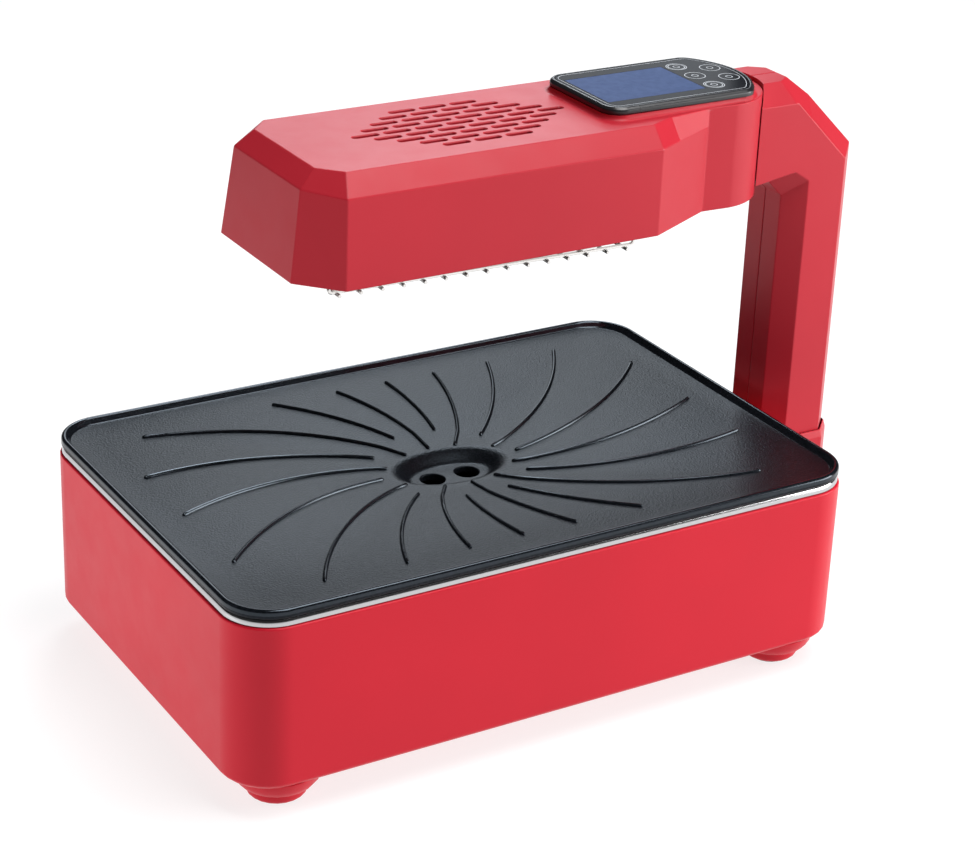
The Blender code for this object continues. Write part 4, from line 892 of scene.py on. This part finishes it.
def head():
    """The lamp housing with rounded folds, chamfered vents and the plinth, in place of its plain solid."""
    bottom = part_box("head_housing")[0][2]
    pivot_x = box_middle("pivot_shaft")[0]
    top = bottom + HEAD_HEIGHT
    bm = bmesh.new()
    outside = [head_level(level, bottom) for level in ("top", "fold", "bottom")]
    loft(bm, outside + [head_level(level, bottom, HEAD_WALL) for level in ("bottom", "fold", "top")])
    bmesh.ops.translate(bm, verts=bm.verts, vec=(pivot_x, 0, 0))
    # The head shell wears the upper red with painted shade and painted sheen
    shell = new_piece("head_shell", bm, UPPER_FINISH_PAINTED_SHADE, "head")
    round_edges(shell, HEAD_EDGE, FACET_ANGLE)
    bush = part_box("upper_bush")
    boss = prism(circle((0, 0), BOSS_RADIUS, CORE_STEPS), bush[0][2] - BOSS_LAP, top - HEAD_WALL / 2)
    bore = prism(circle((0, 0), BOSS_BORE, CORE_STEPS), bush[0][2] - HEAD_WALL, bush[1][2] + CORE_GAP)
    tools = [("UNION", plinth(top, pivot_x)), ("UNION", boss), ("DIFFERENCE", bore)]
    tools += [("DIFFERENCE", vent_slots(top)), ("DIFFERENCE", swivel_slot())]
    for _, tool in tools:
        bmesh.ops.translate(tool, verts=tool.verts, vec=(pivot_x, 0, 0))
    combine(shell, tools)
    modify(shell, "even_normals", "WEIGHTED_NORMAL", weight=NORMAL_WEIGHT, keep_sharp=True)
    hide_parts("head_housing")


def shell_rings(side, pivot_x, underside):
    """Seam, edge and side face of half a column, from its foot round the horn and down the outer face."""
    low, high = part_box("column_rear_shell")
    foot, top, outer, half = low[2], high[2], high[0], high[1]
    inner, edge = outer - COLUMN_DEPTH, half - COLUMN_BEVEL
    crease, start = underside - HORN_CORNER, pivot_x + HORN_START
    crown = half - TOP_FACE_INSET
    cut_x, cut_z = outer - CORNER_CUT_RUN, top - CORNER_CUT_DROP
    outline = [
        (inner, foot, edge),
        (inner, crease, edge),
        (inner - HORN_CORNER, underside, edge),
        (start, underside, edge),
        (start, top, crown),
        (cut_x - TOP_FACE_CUT_RUN, top, crown),
        (cut_x, top, crown - TOP_FACE_TAPER),
        (outer - SHOULDER_RUN, top - SHOULDER_DROP, edge),
        (outer, cut_z, edge),
        (outer, foot, edge),
    ]
    back, front = inner + COLUMN_BEVEL, outer - COLUMN_BEVEL
    over, below = top - HORN_SIDE_DROP, cut_z - CORNER_SIDE_DROP
    side_x = cut_x - SIDE_CUT_BACK
    share = 1 - SHOULDER_RUN / CORNER_CUT_RUN
    flank = [
        (back, foot),
        (back, crease + HORN_CREASE_RISE),
        (back - HORN_CORNER, underside + HORN_VERTEX_RISE),
        (start, underside + HORN_END_RISE),
        (start, over),
        (side_x - SIDE_CUT_LAND, over),
        (side_x, over),
        (side_x + (front - side_x) * share, over + (below - over) * share),
        (front, below),
        (front, foot),
    ]
    return [
        [(x, side * COLUMN_SPLIT / 2, z) for x, z, _ in outline],
        [(x, side * y, z) for x, z, y in outline],
        [(x, side * half, z) for x, z in flank],
    ]


def column():
    """The column's half shells with the recess under the horn, in place of their plain solids."""
    pivot = box_middle("pivot_shaft")
    tube, arm = corners("mast_tube"), corners("pivot_bracket")
    mast = (tube[0] + tube[1]) / 2
    tube_radius = (tube[1].x - tube[0].x) / 2 + CORE_GAP
    clamp_radius = arm[1].x - mast[0] + CORE_GAP
    arm_low, arm_high = arm[0].z - CORE_GAP, arm[1].z + CORE_GAP
    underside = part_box("head_housing")[0][2] + HORN_LIFT
    foot, top = (corner[2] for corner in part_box("column_rear_shell"))
    half = ARM_WIDTH / 2 + CORE_GAP
    passage = [(pivot[0], -half), (mast[0], -half), (mast[0], half), (pivot[0], half)]
    pocket = circle(pivot, KNUCKLE_RADIUS + POCKET_CLEARANCE, 2 * KNUCKLE_STEPS)
    for name, side in (("front", -1), ("rear", 1)):
        bm = bmesh.new()
        loft(bm, shell_rings(side, pivot[0], underside))
        # The column halves wear the upper red with painted shade and painted sheen
        shell = new_piece(f"column_{name}_half", bm, UPPER_FINISH_PAINTED_SHADE, "base")
        cuts = [
            prism(pocket, underside - COLUMN_BEVEL, top + COLUMN_BEVEL),
            prism(circle(mast, tube_radius, CORE_STEPS), foot - COLUMN_BEVEL, arm_low + CORE_GAP),
            prism(circle(mast, clamp_radius, CORE_STEPS), arm_low, arm_high),
            prism(passage, arm_low, arm_high),
        ]
        combine(shell, [("DIFFERENCE", cut) for cut in cuts])
        round_edges(shell, COLUMN_EDGE, FACET_ANGLE)
        modify(shell, "even_normals", "WEIGHTED_NORMAL", weight=NORMAL_WEIGHT)
        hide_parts(f"column_{name}_shell")


def panel_outline(inwards):
    """Outline of the control panel, moved in: two round corners, straight sides and a wide round end."""
    low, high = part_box("panel_bezel")
    half = high[1]
    end_x = high[0] - PANEL_END_RADIUS
    fillet_y = half - PANEL_END_FILLET
    fillet_x = end_x + math.sqrt((PANEL_END_RADIUS - PANEL_END_FILLET) ** 2 - fillet_y ** 2)
    turn = math.atan2(fillet_y, fillet_x - end_x)
    corner = (low[0] + PANEL_CORNER, half - PANEL_CORNER)
    fillet = PANEL_END_FILLET - inwards
    points = arc((end_x, 0), PANEL_END_RADIUS - inwards, -turn, turn, PRINT_STEPS)
    points += arc((fillet_x, fillet_y), fillet, turn, QUARTER, PRINT_STEPS)[1:]
    points += arc(corner, PANEL_CORNER - inwards, QUARTER, 2 * QUARTER, PRINT_STEPS)
    points += arc((corner[0], -corner[1]), PANEL_CORNER - inwards, 2 * QUARTER, 3 * QUARTER, PRINT_STEPS)
    points += arc((fillet_x, -fillet_y), fillet, 3 * QUARTER, 4 * QUARTER - turn, PRINT_STEPS)[:-1]
    return points


def ring_pair(x, y, radius):
    """Outer and inner outline of a printed ring."""
    return [circle((x, y), reach, RING_STEPS) for reach in (radius, radius - RING_WIDTH)]


def print_piece(name, pairs, height, ink):
    """Thin bands between pairs of outlines in plan, as print that lies on the glass."""
    bm = bmesh.new()
    high = height + PRINT_THICKNESS
    for outer, inner in pairs:
        section = (outer, height), (outer, high), (inner, high), (inner, height)
        loft(bm, [at_height(outline, level) for outline, level in section], closed=True)
    new_piece(name, bm, ink, "head")


def panel_print():
    """Border line and plain touch rings, printed on the glass."""
    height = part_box("panel_lens")[1][2] + PRINT_LIFT
    ink = moulded("finish_panel_print", *PRINT_INK)
    border = panel_outline(BORDER_INSET), panel_outline(BORDER_INSET + BORDER_WIDTH)
    print_piece("panel_border_line", [border], height, ink)
    for number, (x, y, double) in enumerate(TOUCH_RINGS, 1):
        radii = [RING_RADIUS, MARK_RADIUS] + [RING_RADIUS * INNER_RING_SHARE] * double
        print_piece(f"touch_ring_{number}", [ring_pair(x, y, radius) for radius in radii], height, ink)


def stage():
    """Pale floor whose glow fades far from the grill."""
    mesh = bpy.data.meshes.new("floor")
    half = FLOOR_SIZE / 2
    plan = [(-half, -half), (half, -half), (half, half), (-half, half)]
    mesh.from_pydata(at_height(plan, -FLOOR_DROP), [], [(0, 1, 2, 3)])
    floor = bpy.data.objects.new("floor", mesh)
    bpy.context.scene.collection.objects.link(floor)
    material, shader = new_material("floor_paper", [FLOOR_TONE] * 3, FLOOR_ROUGHNESS)
    socket(shader, "Emission Color", (*WHITE, 1.0))
    place = add(material, "ShaderNodeTexCoord")
    reach = add(material, "ShaderNodeVectorMath", operation="LENGTH")
    link(material, place, "Object", reach, "Vector")
    fade = add(material, "ShaderNodeMapRange", interpolation_type="SMOOTHSTEP")
    for name, value in zip(("From Min", "From Max", "To Min", "To Max"), FLOOR_GLOW):
        socket(fade, name, value)
    link(material, reach, "Value", fade, "Value")
    link(material, fade, "Result", shader, "Emission Strength")
    mesh.materials.append(material)


def area_light(name, place, aim, size, power, tone, glossy):
    """A square soft light that looks at a point, and shows in reflections or not."""
    data = bpy.data.lights.new(name, "AREA")
    data.energy = power
    data.size = size
    data.color = tone
    light = bpy.data.objects.new(name, data)
    light.location = place
    light.visible_glossy = glossy
    light.rotation_euler = (Vector(aim) - Vector(place)).to_track_quat("-Z", "Y").to_euler()
    bpy.context.scene.collection.objects.link(light)


def lights():
    """Dim surroundings, with soft lights above, behind, at the left and at the right."""
    world = bpy.data.worlds.new("studio")
    world.use_nodes = True
    sky = world.node_tree.nodes["Background"]
    socket(sky, "Color", (*WHITE, 1.0))
    socket(sky, "Strength", WORLD_STRENGTH)
    bpy.context.scene.world = world
    bpy.context.scene.view_settings.view_transform = "Standard"
    for light in LIGHTS:
        area_light(*light)


def camera():
    """Camera at the photograph's place."""
    data = bpy.data.cameras.new("camera")
    data.lens = CAMERA_LENS
    data.sensor_width = SENSOR_WIDTH
    data.clip_end = FLOOR_SIZE
    item = bpy.data.objects.new("camera", data)
    turn = Matrix.Rotation(CAMERA_HEADING, 4, "Z") @ Matrix.Rotation(CAMERA_TILT, 4, "X")
    item.matrix_world = Matrix.Translation(CAMERA_PLACE) @ turn @ Matrix.Rotation(CAMERA_ROLL, 4, "Z")
    bpy.context.scene.collection.objects.link(item)
    bpy.context.scene.camera = item


dress_nodes()
plate()
tray()
head()
column()
soften_all()
panel_print()
stage()
lights()
camera()
